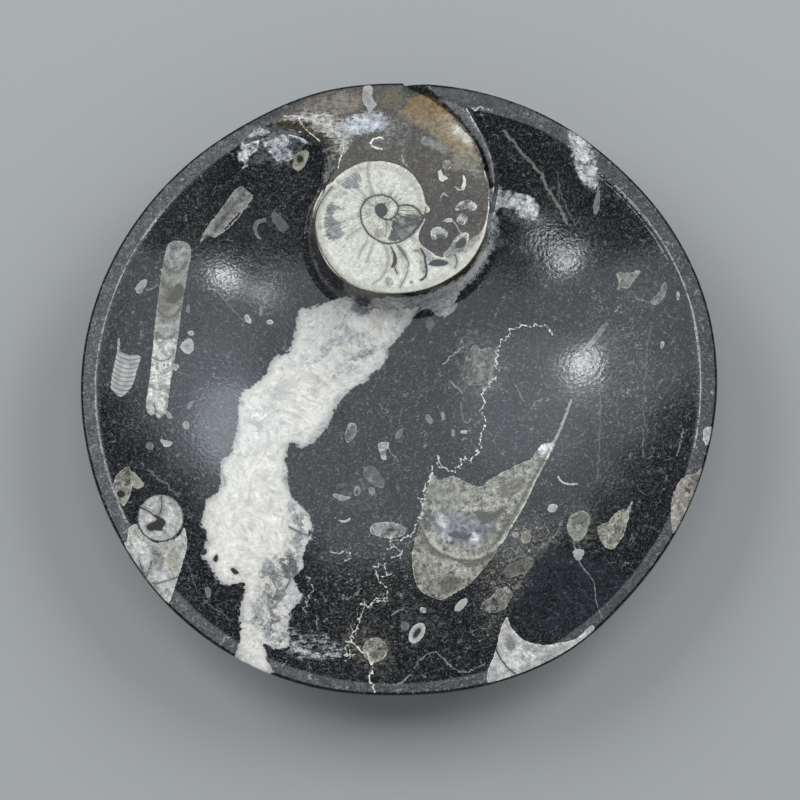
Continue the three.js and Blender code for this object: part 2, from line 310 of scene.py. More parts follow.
# Shells and spar: outline, colour, how grainy, and on one with chambers how many, and its two ends
SHELLS = [
    # the coiled shell in the head, and the cream rim that runs on from it along the head's edge
    ([(333, 182), (337, 177), (345, 171), (354, 166), (362, 163), (370, 161.5), (381, 161.5), (392, 163),
      (402, 167), (411, 173), (418, 182), (423, 192), (425, 202), (426, 208), (424, 214), (425, 219),
      (422, 226), (419, 233), (419, 241), (424, 247), (430, 251), (437, 256), (446, 257), (455, 252),
      (463, 248), (470, 240), (479, 234), (485.5, 223), (488, 210), (488.5, 196), (487, 184), (484, 172),
      (485, 170), (490, 190), (491, 210), (489, 226), (484, 243), (476, 257), (463, 270), (446, 281),
      (430, 289), (410, 294), (390, 295), (370, 293), (350, 286), (336, 276), (325, 263), (317, 245),
      (313, 228), (314, 208), (319, 196), (326, 186)], CREAM, 0.15),
    # spar patches: upper left, right of the head, over the rim at the upper right, on the rim at the right
    ([(238, 155), (241, 150), (243, 143), (250, 136), (256, 131), (263, 129), (269, 131), (270, 135),
      (264, 139), (259, 141), (258, 145), (260, 149), (255, 152), (250, 157), (247, 162), (243, 169),
      (244, 161), (240, 159)], (0.60, 0.61, 0.615), 1.5),
    ([(262, 143), (268, 142), (277, 138), (283, 136), (288, 139), (290, 143), (286, 147), (292, 151),
      (295, 155), (292, 159), (283, 161), (276, 160), (272, 155), (268, 151), (270, 147), (265, 146)],
     (0.56, 0.57, 0.59), 1.5),
    ([(287, 130), (293, 130), (301, 133), (308, 137), (314, 141), (308, 143), (301, 141), (295, 137),
      (289, 134)], (0.52, 0.54, 0.57), 1.5),
    ([(490, 191), (497, 188), (504, 189), (510, 192), (518, 193), (526, 195), (533, 199), (538, 206),
      (538, 213), (533, 219), (526, 219), (520, 216), (515, 210), (508, 208), (501, 207), (496, 211),
      (494, 218), (493, 226), (491, 233), (488, 236), (489, 224), (489, 208)], (0.56, 0.57, 0.58), 1.5),
    ([(569, 130), (579, 128), (584, 134), (589, 143), (592, 151), (595, 164), (598, 179), (596, 186),
      (590, 187), (585, 184), (579, 177), (576, 168), (574, 158), (571, 147)], (0.58, 0.585, 0.59), 1.5),
    ([(703, 437), (705, 428), (714, 427), (712, 438), (707, 446)], (0.5, 0.5, 0.48), 0.5),
    # straight shells
    ([(168, 245), (180, 241), (191, 249), (187, 275), (183, 300), (180, 320), (176, 352), (170, 385),
      (167, 410), (163, 415), (158, 419), (155, 413), (151, 416), (147, 411), (146, 403), (149, 384),
      (151, 366), (155, 325), (158, 300), (162, 270)], (0.38, 0.38, 0.35), 0.45),
    ([(243, 187), (253, 197), (250, 202), (243, 209), (234, 218), (225, 228), (220, 234), (214, 238),
      (208, 235), (203, 240), (199, 245), (202, 236), (207, 228), (213, 219), (221, 209), (228, 199),
      (235, 190)], (0.33, 0.325, 0.30), 0.5),
    ([(118, 351), (128, 355), (140, 356), (137, 370), (133, 384), (127, 392), (121, 397), (115, 393),
      (111, 388), (112, 375), (115, 362)], (0.54, 0.54, 0.52), 0.1, 11, (129, 350), (121, 398)),
    # the wide chambered shell
    ([(431, 472), (436, 477), (445, 478), (452, 476), (461, 479), (468, 483), (480, 487), (488, 481),
      (496, 476), (505, 471), (513, 467), (521, 463), (531, 459), (536, 452), (543, 444), (549, 443),
      (555, 443), (553, 449), (547, 460), (540, 472), (530, 492), (523, 506), (513, 523), (505, 535),
      (500, 544), (492, 558), (480, 573), (468, 585), (455, 593), (441, 600), (432, 597), (422, 592),
      (416, 583), (413, 570), (412, 555), (414, 545), (418, 530), (420, 520), (422, 508), (425, 495),
      (430, 482)], (0.355, 0.345, 0.295), 0.85),
    # the cone at the rim, with its round end
    ([(128, 531), (131, 526), (138, 525), (150, 541), (165, 542), (178, 537), (184, 528), (187, 540),
      (186, 551), (180, 571), (168, 605), (160, 602), (138, 572), (120, 548), (127, 541)],
     (0.60, 0.59, 0.555), 0.45),
    (oval(160.5, 518, 46, 47, 0, 22), (0.62, 0.615, 0.59), 0.4),
    # the crescent at the rim, lower right
    ([(507, 617), (511, 627), (518, 635), (526, 641), (536, 644), (548, 645), (558, 643), (570, 641),
      (580, 636), (592, 625), (594, 634), (580, 644), (565, 653), (545, 664), (525, 673), (505, 680),
      (490, 686), (487, 676), (489, 668), (494, 655), (497, 645), (500, 632), (503, 623)],
     (0.62, 0.605, 0.575), 0.42),
    # the fossils that run over the rim, right and left
    ([(683, 477), (690, 475), (697, 472), (706, 464), (706, 475), (701, 490), (695, 502), (690, 510),
      (685, 522), (680, 532), (675, 541), (672, 525), (671, 512), (672, 500), (676, 488)], PINK, 1),
    ([(114, 482), (117, 475), (122, 470), (128, 466), (131, 473), (132, 482), (131, 492), (128, 500),
      (124, 506), (120, 503), (116, 497), (113, 490)], TAN, 0.9),
    ([(130, 471), (134, 472), (139, 478), (144, 484), (140, 488), (134, 488), (132, 481)], TAN, 0.4),
    # small cut shells
    ([(597, 528), (603, 524), (609, 521), (614, 515), (620, 510), (628, 508), (633, 499), (628, 520),
      (624, 534), (619, 542), (614, 549), (607, 548), (602, 543), (599, 535)], TAN, 1),
    ([(567, 527), (570, 517), (576, 513), (584, 511), (590, 517), (588, 528), (584, 537), (578, 541),
      (571, 537)], (0.30, 0.30, 0.26), 0.6),
    ([(573, 551), (577, 549), (584, 550), (583, 556), (579, 561), (574, 557)], CHALK, 0.2),
    (oval(552.5, 508, 10.5, 8, -25), CHALK, 0.5),
    (oval(417, 633, 14, 23, 32), (0.55, 0.55, 0.52), 0.1),
    (oval(461, 605, 8, 17, 45), (0.47, 0.47, 0.45), 0.1),
    (oval(388, 530, 37, 16, 3), (0.38, 0.38, 0.35), 0.7),
    (oval(375, 650, 24, 25, 20), TAN, 1),
    ([(378, 444), (384, 442), (389, 443), (388, 448), (385, 452), (387, 459), (383, 460), (380, 453)], CHALK,
     0.5),
    ([(345, 437), (347, 428), (350, 423), (355, 424), (357, 431), (354, 438), (348, 443)], (0.3, 0.3, 0.28),
     0.8),
    ([(363, 473), (367, 466), (374, 467), (380, 474), (385, 484), (381, 488), (375, 485), (368, 480)],
     (0.16, 0.16, 0.145), 0.6),
    ([(332, 494), (338, 494), (345, 496), (352, 497), (346, 500), (338, 500)], (0.33, 0.34, 0.35), 0.3),
    (oval(357, 491, 7, 11, 10), (0.26, 0.26, 0.26), 0.3),
    (oval(372, 491, 6, 9, -20), (0.26, 0.26, 0.26), 0.4),
    ([(334, 517), (340, 520), (346, 520), (351, 517), (348, 522), (341, 522)], CHALK, 0.5),
    ([(463, 378), (465, 362), (470, 350), (476, 344), (481, 350), (488, 347), (495, 352), (495, 364),
      (492, 372), (495, 378), (490, 384), (483, 388), (478, 384), (472, 386), (466, 383)], (0.22, 0.22, 0.20),
     1),
    ([(293, 163), (295, 156), (299, 152), (305, 150), (309, 153), (307, 160), (303, 168), (298, 171),
      (293, 168)], (0.42, 0.41, 0.34), 0.4),
    ([(272, 213), (276, 212), (281, 217), (288, 225), (288, 229), (281, 232), (277, 226), (272, 220)],
     (0.17, 0.17, 0.175), 0.2),
    ([(266, 218), (267, 221), (260, 223), (257, 228), (258, 234), (262, 239), (257, 238), (254, 232),
      (253, 226), (257, 220)], (0.21, 0.21, 0.20), 0.2),
    ([(135, 289), (138, 284), (142, 280), (148, 280), (146, 285), (143, 290), (139, 294)], CHALK, 0.5),
    (oval(248, 319, 5, 11, -30), CHALK, 0.5),
    ([(180, 347), (184, 341), (189, 338), (193, 342), (194, 349), (189, 354), (184, 352)], CHALK, 0.3),
    (oval(191, 333, 7, 5, 10), CHALK, 0.5),
    (oval(188, 309, 4, 9, 0), (0.2, 0.2, 0.2), 0.1),
    (oval(261, 311, 4, 12, 5), (0.18, 0.18, 0.18), 0.1),
    (oval(270, 322, 7, 5, 0), CHALK, 0.5),
    (oval(176, 367, 5, 7, 20), CHALK, 0.5),
    ([(160, 437), (163, 440), (170, 441), (173, 442), (170, 446), (166, 447), (162, 444)], CHALK, 0.5),
    (oval(150, 446, 8, 8, 0), (0.18, 0.18, 0.18), 0.2),
    (oval(186, 425, 6, 9, 0), CHALK, 0.5),
    (oval(169, 415, 5, 9, -30), (0.3, 0.3, 0.3), 0.1),
    (oval(190, 405, 4, 10, 30), (0.2, 0.2, 0.2), 0.1),
    (oval(430, 324, 8, 12, 0), (0.14, 0.14, 0.135), 0.3),
    (oval(399, 434, 6, 12, 30), (0.2, 0.2, 0.2), 0.3),
    (oval(429, 419, 6, 11, -30), (0.2, 0.2, 0.2), 0.2),
    (oval(443, 416, 4, 9, -10), (0.25, 0.25, 0.25), 0.1),
    (oval(464, 432, 7, 4, 0), CHALK, 0.5),
    (oval(453, 433, 4, 8, 0), (0.25, 0.25, 0.25), 0.1),
    (oval(208, 592, 6, 11, -10), (0.2, 0.2, 0.2), 0.3),
    (oval(423, 610, 7, 6, 0), CHALK, 0.5),
    (oval(405, 626, 9, 9, 0), (0.16, 0.165, 0.17), 0.4),
    ([(616, 274), (622, 272), (629, 273), (636, 271), (641, 271), (637, 277), (632, 283), (628, 289),
      (622, 287), (617, 290), (619, 281)], (0.27, 0.27, 0.24), 0.7),
    ([(664, 281), (667, 287), (666, 294), (662, 300), (656, 305), (650, 302), (654, 297), (660, 291)],
     (0.24, 0.24, 0.24), 0.7),
    (oval(678, 296, 3.5, 9, 0), CHALK, 0.5),
    (oval(662, 345, 4, 8, 15), CHALK, 0.5),
    (oval(499, 243, 8, 9, 0), (0.1, 0.1, 0.09), 0.3),
    ([(593, 208), (596, 195), (599, 185), (600, 200), (598, 212), (595, 215)], (0.24, 0.24, 0.25), 0.2),
    # the blurred shells beside the clear dark stone
    (oval(526, 537, 10, 14, 15), PINK, 0.5),
    (oval(515.5, 535, 6, 6, 0), TAN, 0.5),
    ([(506, 567), (516, 562), (530, 557), (534, 562), (528, 570), (516, 576), (508, 578), (504, 573)],
     (0.18, 0.17, 0.145), 0.6),
    (oval(516, 585, 10, 9, 0), (0.17, 0.15, 0.13), 0.7),
    ([(481, 606), (486, 600), (492, 597), (497, 590), (506, 587), (512, 592), (510, 600), (503, 610),
      (494, 613), (486, 611)], (0.27, 0.265, 0.235), 1),
    # shells in the brown stone of the head
    ([(364, 86), (369, 85), (373, 88), (372, 95), (374, 101), (377, 104), (373, 109), (369, 114), (367, 108),
      (363, 103), (362, 97), (363, 90)], (0.42, 0.42, 0.38), 0.2),
    ([(438, 171), (441, 170), (443, 175), (449, 178), (446, 180), (441, 182), (439, 178)], CREAM, 0.1),
    ([(463, 175), (466, 180), (464, 190), (461, 190), (463, 182)], CREAM, 0.1),
    ([(457, 205), (462, 201), (469, 200), (477, 205), (474, 211), (466, 208), (460, 211), (455, 209)],
     (0.50, 0.50, 0.46), 0.7),
    ([(457, 218), (462, 213), (467, 216), (467, 221), (463, 225), (458, 223)], (0.46, 0.46, 0.42), 0.7),
    ([(431, 231), (436, 227), (444, 229), (448, 234), (445, 239), (439, 236), (436, 240), (432, 239)],
     (0.50, 0.50, 0.45), 0.7),
    ([(443, 254), (448, 250), (452, 243), (457, 236), (462, 233), (468, 233), (469, 240), (473, 243),
      (468, 249), (459, 253), (452, 257), (446, 258)], (0.36, 0.355, 0.32), 0.6),
    ([(421, 206), (425, 203), (430, 209), (429, 212), (425, 213)], CREAM, 0.2),
    ([(443, 221), (448, 218), (453, 219), (451, 222), (446, 222)], (0.50, 0.50, 0.46), 0.2),
    (oval(447, 165, 9, 10, 0), (0.3, 0.29, 0.25), 0.8),
]

# Thin light lines, stylolites and shell walls: points, width, colour, how ragged
THREADS = [
    ([(552, 335), (548, 328), (538, 325), (528, 325), (518, 328), (510, 329), (508, 336), (501, 338),
      (500, 345), (497, 352), (495, 362), (497, 375), (493, 381), (487, 386), (483, 392), (484, 402),
      (483, 415), (484, 428), (482, 438), (479, 442), (480, 449), (476, 455), (473, 461), (465, 459),
      (461, 465), (455, 470), (447, 470), (440, 463), (438, 456)], 0.8, (0.80, 0.80, 0.77), 1.3),
    ([(432, 466), (430, 476), (426, 486), (424, 495), (422, 508), (419, 520), (414, 532), (405, 538),
      (397, 541), (390, 539)], 0.9, (0.70, 0.70, 0.66), 1.4),
    ([(463, 342), (457, 352), (449, 358), (443, 364)], 1.1, TAN, 1),
    ([(450, 381), (457, 387), (462, 393)], 1.6, ASH, 0.3),
    ([(461, 403), (463, 418), (467, 424), (471, 418)], 1.0, ASH, 0.2),
    ([(390, 545), (402, 552), (400, 558), (391, 558)], 0.8, (0.55, 0.55, 0.52), 1.4),
    ([(396, 540), (388, 548), (384, 560), (378, 567), (375, 574), (381, 577), (390, 574), (384, 567)], 0.8,
     (0.55, 0.55, 0.52), 1.4),
    ([(375, 574), (384, 586), (391, 596), (388, 601), (378, 602), (370, 607), (364, 602), (361, 612),
      (359, 622), (355, 630), (351, 638), (346, 648), (344, 655)], 0.8, (0.62, 0.61, 0.56), 1.5),
    ([(364, 604), (358, 616), (352, 624), (356, 636), (349, 644), (352, 656), (345, 661)], 0.7,
     (0.50, 0.50, 0.46), 1.5),
    ([(388, 601), (380, 598), (372, 603)], 0.8, (0.62, 0.61, 0.56), 1.2),
    ([(352, 640), (358, 648), (365, 655), (371, 661), (373, 670), (369, 678), (373, 685), (374, 694)], 1.0,
     CREAM, 1.3),
    ([(307, 577), (311, 588), (308, 598), (306, 612)], 1.0, TAN, 1.4),
    ([(316, 616), (318, 630)], 1.2, ASH, 1),
    ([(330, 552), (337, 553), (345, 550), (350, 556), (345, 561)], 1.0, CHALK, 1.4),
    ([(343, 599), (350, 597), (357, 592), (362, 588)], 1.3, ASH, 1),
    ([(392, 615), (397, 611), (403, 609)], 1.6, ASH, 0.3),
    ([(414, 668), (420, 660), (428, 654), (436, 653), (443, 658), (449, 665), (456, 670), (465, 672),
      (474, 669), (485, 663)], 1.3, ASH, 0.4),
    ([(411, 675), (404, 681), (398, 684)], 1.8, ASH, 0.5),
    ([(503, 131), (511, 139), (520, 150), (527, 158), (536, 168), (543, 180), (549, 190), (556, 202),
      (562, 214), (567, 223)], 2.4, (0.19, 0.185, 0.165), 0.7),
    ([(557, 172), (560, 190), (566, 205), (575, 225)], 1.3, SMOKE, 0.5),
    ([(571, 400), (566, 415), (559, 432), (553, 444)], 2.4, (0.34, 0.34, 0.31), 0.1),
    ([(606, 325), (588, 347)], 4.8, (0.25, 0.25, 0.25), 0.2),
    ([(600, 378), (600, 420), (599, 450), (597, 482)], 1.2, SMOKE, 0.5),
    ([(650, 330), (646, 360), (644, 400), (643, 456)], 1.1, SMOKE, 0.6),
    ([(515, 384), (520, 394), (525, 402)], 1.0, ASH, 0.2),
    ([(558, 477), (562, 482), (568, 484), (577, 484)], 1.7, CHALK, 0.1),
    ([(573, 541), (575, 549)], 1.0, ASH, 0.1),
    ([(578, 560), (584, 569), (590, 576), (594, 583), (596, 600), (598, 607), (602, 618)], 1.0, ASH, 0.1),
    ([(563, 520), (556, 533), (548, 541), (538, 551)], 1.4, ASH, 0.8),
    ([(538, 530), (545, 527), (550, 533), (546, 538)], 1.0, ASH, 1),
    ([(500, 563), (512, 559), (522, 556)], 1.0, ASH, 0.3),
    ([(211, 268), (213, 280), (218, 292), (227, 303), (238, 315), (245, 322)], 1.2, SMOKE, 0.3),
    ([(146, 290), (152, 289), (158, 284)], 1.2, ASH, 0.3),
    ([(119, 339), (118, 352)], 2.2, CHALK, 0.1),
    ([(148, 470), (158, 479), (168, 486), (178, 497)], 2.0, SMOKE, 1),
    ([(205, 600), (213, 608), (222, 613), (232, 621)], 1.2, SMOKE, 0.3),
    ([(189, 566), (193, 580), (198, 593)], 1.2, SMOKE, 0.3),
    ([(684, 430), (680, 445), (677, 456)], 1.2, ASH, 0.4),
    ([(636, 298), (644, 299), (652, 302)], 1.0, ASH, 1),
    ([(388, 449), (393, 453), (398, 461)], 1.0, ASH, 1),
    ([(402, 408), (399, 424)], 1.2, SMOKE, 0.2),
    ([(630, 238), (626, 234)], 1.2, SMOKE, 0.2),
    ([(282, 667), (287, 661)], 1.0, ASH, 0.2),
    # light walls inside the shells
    ([(421, 522), (425, 532), (433, 544), (446, 553), (460, 557.5), (474, 557.5), (487, 553.5), (497, 546),
      (503, 539)], 1.7, (0.50, 0.495, 0.43), 0.05),
    ([(446, 545), (455, 548), (468, 549), (480, 546), (487, 543)], 1.0, (0.42, 0.415, 0.36), 0.1),
    ([(473, 509), (482, 508), (490, 511), (498, 506), (506, 503), (513, 504)], 1.8, (0.47, 0.46, 0.40), 0.3),
    ([(552, 446), (545, 462), (534, 484), (523, 507), (511, 527), (502, 543)], 1.0, (0.55, 0.545, 0.48),
     0.05),
    ([(438, 456), (441, 465), (449, 471)], 1.2, (0.55, 0.55, 0.52), 0.4),
    ([(236, 190), (226, 203), (216, 218), (209, 231), (212, 236), (217, 236)], 1.0, (0.42, 0.42, 0.38), 0.2),
    ([(252, 199), (241, 213), (229, 227), (217, 236)], 1.0, (0.38, 0.38, 0.34), 0.3),
    ([(161, 270), (171, 279), (181, 276), (187, 268)], 1.1, (0.52, 0.515, 0.46), 0.5),
    ([(160, 289), (168, 297), (178, 296), (184, 288)], 1.1, (0.52, 0.515, 0.46), 0.5),
    ([(157, 318), (164, 326), (174, 325), (180, 318)], 1.1, (0.52, 0.515, 0.46), 0.5),
    ([(155, 344), (157, 353), (166, 354), (169, 345), (162, 343), (155, 344)], 1.1, (0.52, 0.515, 0.46), 0.2),
    # painted highlights where the spur's rounded edge catches the light
    ([(467, 109), (473, 120), (481, 133), (487, 145), (491, 158)], 1.2, (0.52, 0.53, 0.54), 0.15),
    ([(466, 109), (474, 109), (482, 108), (489, 110)], 1.2, (0.52, 0.53, 0.54), 0.7),
    # bright lines along the shoulder's edges
    ([(284, 116), (292, 116), (300, 117), (312, 120), (325, 126), (335, 133), (342, 141), (344, 149)], 1.1,
     (0.62, 0.60, 0.56), 0.25),
    ([(299, 119), (303, 126), (310, 133), (320, 141)], 0.9, CREAM, 0.2),
    ([(344, 150), (340, 160), (338, 168)], 0.9, CREAM, 0.2),
    # bright cracks and rims in the head
    ([(370, 143), (374, 139), (380, 137), (383, 139)], 1.4, CREAM, 0.2),
    ([(370, 143), (374, 147), (382, 149)], 1.4, CREAM, 0.2),
    ([(401, 128), (404, 123), (408, 130), (404, 136)], 1.0, ASH, 0.3),
    ([(402, 155), (404, 163), (407, 166)], 1.0, CHALK, 0.3),
    ([(443, 221), (452, 221), (458, 228), (462, 236)], 0.9, CHALK, 0.2),
    ([(455, 242), (462, 236), (468, 234), (466, 244), (457, 246)], 1.3, CREAM, 0.4),
    ([(455, 187), (459, 190), (463, 188)], 1.2, CHALK, 0.2),
    ([(441, 197), (444, 194), (448, 196)], 1.4, CHALK, 0.4),
]

# Dark areas and dark lines on the shells and the calcite: outline or points, width of a line, colour
INK = (0.03, 0.03, 0.029)
MAUVE = (0.045, 0.042, 0.038)
UMBER = (0.040, 0.034, 0.026)
DARK_AREAS = [
    (oval(381.5, 210.5, 12.5, 13), MAUVE),
    ([(390, 245), (394, 251), (397, 258), (396, 265), (391, 268), (393, 261), (393, 254)], UMBER),
    ([(396, 244), (402, 248), (406, 254), (408, 261), (404, 257), (400, 251)], (0.15, 0.15, 0.12)),
    ([(455, 247), (459, 240), (465, 238), (466, 244), (461, 248)], MAUVE),
    ([(457, 212), (463, 209), (470, 212), (472, 218), (468, 224), (467, 216)], (0.09, 0.085, 0.07)),
    ([(438, 236), (442, 234), (446, 238), (444, 245), (440, 244)], (0.09, 0.085, 0.08)),
    ([(428, 264), (435, 259.5), (443, 260), (449, 263), (442, 266), (433, 266)], MAUVE),
    (oval(300, 159, 6, 7, 20), UMBER),
    (oval(121, 494, 8, 7, 0), INK),
    (oval(391, 530, 8, 3.6, 0), INK),
    (oval(417, 633, 5, 12, 35), MAUVE),
    ([(146, 527), (150, 523), (157, 520), (155, 515), (160, 517), (166, 522), (163, 527), (162, 531),
      (155, 530), (150, 531)], MAUVE),
    ([(473, 512), (483, 511), (491, 514), (498, 510), (504, 508), (501, 514), (493, 520), (486, 523),
      (479, 520), (476, 515)], (0.10, 0.098, 0.08)),
    ([(448, 535), (456, 531), (464, 536), (472, 533), (467, 540), (457, 538)], (0.08, 0.085, 0.10)),
    ([(214, 557), (217, 554), (218, 559), (216, 563), (213, 560)], INK),
    ([(230, 568), (234, 568), (239, 573), (236, 575), (232, 572)], INK),
    ([(200, 528), (206, 530), (206, 536), (201, 537)], INK),
    ([(200, 548), (207, 550), (206, 554), (201, 555)], INK),
    ([(175, 286), (181, 284), (184, 290), (181, 298), (174, 303), (166, 301), (170, 295)],
     (0.09, 0.08, 0.06)),
    (oval(440, 476, 9, 8, 0), (0.05, 0.05, 0.045)),
    (oval(357, 492, 2.6, 4, 10), INK),
    (oval(351, 432, 3, 6, 15), (0.12, 0.12, 0.11)),
    (oval(580, 519, 12, 7, -20), (0.16, 0.16, 0.14)),
    (oval(511, 646, 9, 8, 0), (0.24, 0.24, 0.22)),
    (oval(375, 655, 6, 5, 0), (0.12, 0.11, 0.09)),
]
DARK_LINES = [
    # the coil
    ([(424, 217), (421, 222), (418, 227), (412, 234), (405, 239), (397, 242.5), (388, 243.5), (380, 241.5),
      (372, 237), (365, 229), (361, 219), (361, 209), (365, 201), (372, 196.5), (380, 195), (388, 196.5),
      (394, 200), (397.5, 205), (398, 210), (396, 215), (391, 219), (386, 219.5), (380, 217), (376, 212),
      (376, 207), (379, 204), (385, 204)], 1.5, MAUVE),
    ([(398, 206), (405, 205), (412, 206), (417, 209), (421, 214), (424, 218)], 1.5, MAUVE),
    # a thin brownish outline along the coil's left and lower edge, darkened as painted shade where the head's
    # wall drops away
    ([(332, 187), (324, 197), (318, 208), (315, 220), (316, 233), (320, 247), (328, 262), (338, 274),
      (350, 284), (366, 291), (384, 293.5)], 1.3, (0.10, 0.095, 0.075)),
    ([(426, 208), (425, 213), (423, 217)], 1.0, MAUVE),
    ([(395, 268), (397, 274)], 1.1, MAUVE),
    ([(421, 249), (424, 255), (426, 264), (426.5, 272), (425, 277), (421, 280)], 2.2, MAUVE),
    ([(408, 261), (408, 268), (406, 276), (400, 287)], 1.0, (0.22, 0.215, 0.18)),
    ([(368, 163), (368, 174), (370, 185), (374, 195)], 0.9, (0.36, 0.355, 0.31)),
    ([(355, 186), (361, 192), (367, 198)], 0.8, (0.34, 0.335, 0.30)),
    ([(383, 244), (387, 251), (388, 261), (386, 270), (381, 278), (372, 284)], 0.9, (0.34, 0.335, 0.29)),
    ([(368, 241), (362, 249), (359, 257)], 0.8, (0.38, 0.375, 0.33)),
    ([(374, 244), (370, 252), (368, 261)], 0.7, (0.40, 0.395, 0.35)),
    ([(361, 228), (354, 232), (347, 239)], 0.7, (0.38, 0.375, 0.33)),
    ([(395, 216), (399, 222)], 1.0, MAUVE),
    ([(397, 213), (402, 218)], 1.0, MAUVE),
    ([(391, 219), (394, 225)], 1.0, MAUVE),
    ([(386, 222), (387, 228), (385, 236)], 0.8, (0.22, 0.21, 0.18)),
    ([(384, 199), (385, 204)], 0.7, (0.25, 0.24, 0.2)),
    ([(390, 201), (388, 205)], 0.7, (0.25, 0.24, 0.2)),
    ([(413, 251), (419, 250)], 0.9, MAUVE),
    ([(401, 283), (404, 279)], 0.9, TAN),
    ([(455, 255), (457, 262), (455, 268)], 0.9, MAUVE),
    # the long straight shell
    ([(163, 263), (171, 272), (180, 270), (187, 262)], 1.2, (0.13, 0.125, 0.10)),
    ([(161, 281), (169, 289), (178, 288)], 1.4, (0.12, 0.115, 0.09)),
    ([(158, 310), (166, 317), (175, 315), (181, 306)], 1.4, (0.13, 0.125, 0.10)),
    ([(156, 334), (164, 339), (172, 336)], 1.0, (0.15, 0.145, 0.12)),
    ([(152, 357), (160, 361), (170, 358), (174, 350)], 1.0, (0.17, 0.165, 0.14)),
    ([(152, 386), (158, 390), (166, 386)], 0.9, (0.22, 0.215, 0.19)),
    ([(154, 404), (156, 412)], 1.4, (0.10, 0.10, 0.08)),
    # the second straight shell
    ([(245, 191), (236, 203), (226, 216), (216, 230)], 1.2, (0.15, 0.145, 0.125)),
    # the wide chambered shell
    ([(421, 526), (424, 535), (432, 547), (445, 556), (460, 560.5), (475, 560.5), (489, 556), (499, 548)],
     1.3, (0.12, 0.115, 0.09)),
    ([(423, 510), (433, 519)], 2.6, (0.12, 0.12, 0.10)),
    ([(421, 520), (430, 526)], 2.0, (0.12, 0.12, 0.10)),
    ([(549, 449), (541, 464), (531, 483), (519, 505), (508, 524), (497, 541)], 0.9, (0.10, 0.10, 0.08)),
    # cracks and seams in the cone at the rim, and in the crescent
    ([(139, 560), (143, 572), (148, 584), (146, 578), (152, 561)], 0.9, (0.09, 0.085, 0.07)),
    ([(118, 550), (131, 562), (142, 574)], 0.7, (0.16, 0.15, 0.13)),
    # the cone at the rim
    (ring(160.5, 518, 46, 47, 0, 22), 1.3, UMBER),
    ([(160, 514), (162, 505), (161, 497)], 0.9, UMBER),
    ([(156, 517), (148, 511), (142, 508)], 1.1, UMBER),
    ([(149, 584), (163, 582), (178, 577)], 1.1, (0.12, 0.115, 0.10)),
    # the crescent
    ([(503, 620), (498, 632), (495.5, 645), (499, 656), (507, 667), (517, 675)], 1.1, MAUVE),
    ([(567, 656), (545, 666), (525, 674)], 1.0, TAN),
    # the calcite
    ([(289, 527), (299, 532), (308, 536)], 1.3, SMOKE),
    ([(272, 592), (268, 606), (276, 618)], 0.9, (0.20, 0.205, 0.21)),
    ([(284, 568), (290, 578), (286, 588)], 1.2, (0.12, 0.122, 0.126)),
    ([(500, 213), (504, 213), (508, 217)], 1.2, SMOKE),
]

# The outer edge of the painted shadow in the groove beside the head
GROOVE_SHADE = [
    (402, 83), (410, 87), (421, 93.5), (435, 101), (449, 112.5), (463, 128.5), (477, 147), (486.5, 166),
    (492, 186), (493.5, 200), (493.5, 216),
]

# Kinds of stone, with soft edges: outline, colour, share, softness in mm, density of light specks
GROUND = [
    ([(150, 215), (240, 200), (300, 240), (300, 300), (240, 330), (190, 340)], (0.016, 0.017, 0.020), 1, 8,
     0.3),
    ([(300, 250), (340, 290), (352, 300), (310, 300), (270, 330), (250, 300)], (0.014, 0.015, 0.018), 1, 3,
     0.4),
    ([(590, 300), (650, 310), (650, 420), (600, 420)], (0.020, 0.021, 0.023), 1, 5, 0.6),
    ([(330, 540), (420, 540), (410, 640), (340, 630)], (0.012, 0.012, 0.012), 1, 5, 0.5),
    ([(485, 540), (520, 520), (560, 525), (545, 560), (520, 600), (490, 640), (480, 610)],
     (0.030, 0.0285, 0.025), 1, 4, 0.8),
    ([(545, 555), (600, 560), (640, 600), (590, 645), (510, 618), (525, 590)], (0.0175, 0.0190, 0.0235), 1, 2,
     0.03),
    ([(268, 172), (318, 180), (318, 228), (268, 226)], (0.016, 0.0163, 0.017), 1, 5, 0.5),
    ([(172, 196), (205, 194), (210, 236), (176, 240)], (0.019, 0.019, 0.019), 1, 4, 0.5),
    # the brown stone of the head, from the rim behind it to its front wall
    ([(262, 128), (285, 112), (318, 94), (350, 84), (398, 82), (420, 93), (446, 108), (472, 136), (484, 163),
      (491, 200), (488, 235), (470, 264), (440, 288), (428, 292), (352, 292), (330, 272), (312, 235),
      (312, 205), (326, 185), (334, 162), (330, 150), (312, 137), (280, 131)], (0.061, 0.047, 0.031), 1, 0.5,
     0.30),
    ([(432, 200), (450, 196), (470, 195), (478, 212), (470, 225), (452, 215), (436, 222), (428, 215)],
     (0.047, 0.040, 0.031), 1, 2, 0.2),
    ([(424, 214), (440, 212), (456, 225), (457, 240), (447, 252), (430, 250), (420, 240), (421, 226)],
     (0.042, 0.036, 0.029), 1, 1.2, 0.15),
    # painted shadow in the groove's deep side along the head, near black
    (GROOVE_SHADE + [(491, 214), (489, 188), (484, 170), (474, 150), (460, 131), (446, 115), (430, 103),
      (415, 98), (404, 91)], (0.0075, 0.0082, 0.0095), 1, 0.3, 0.0),
]

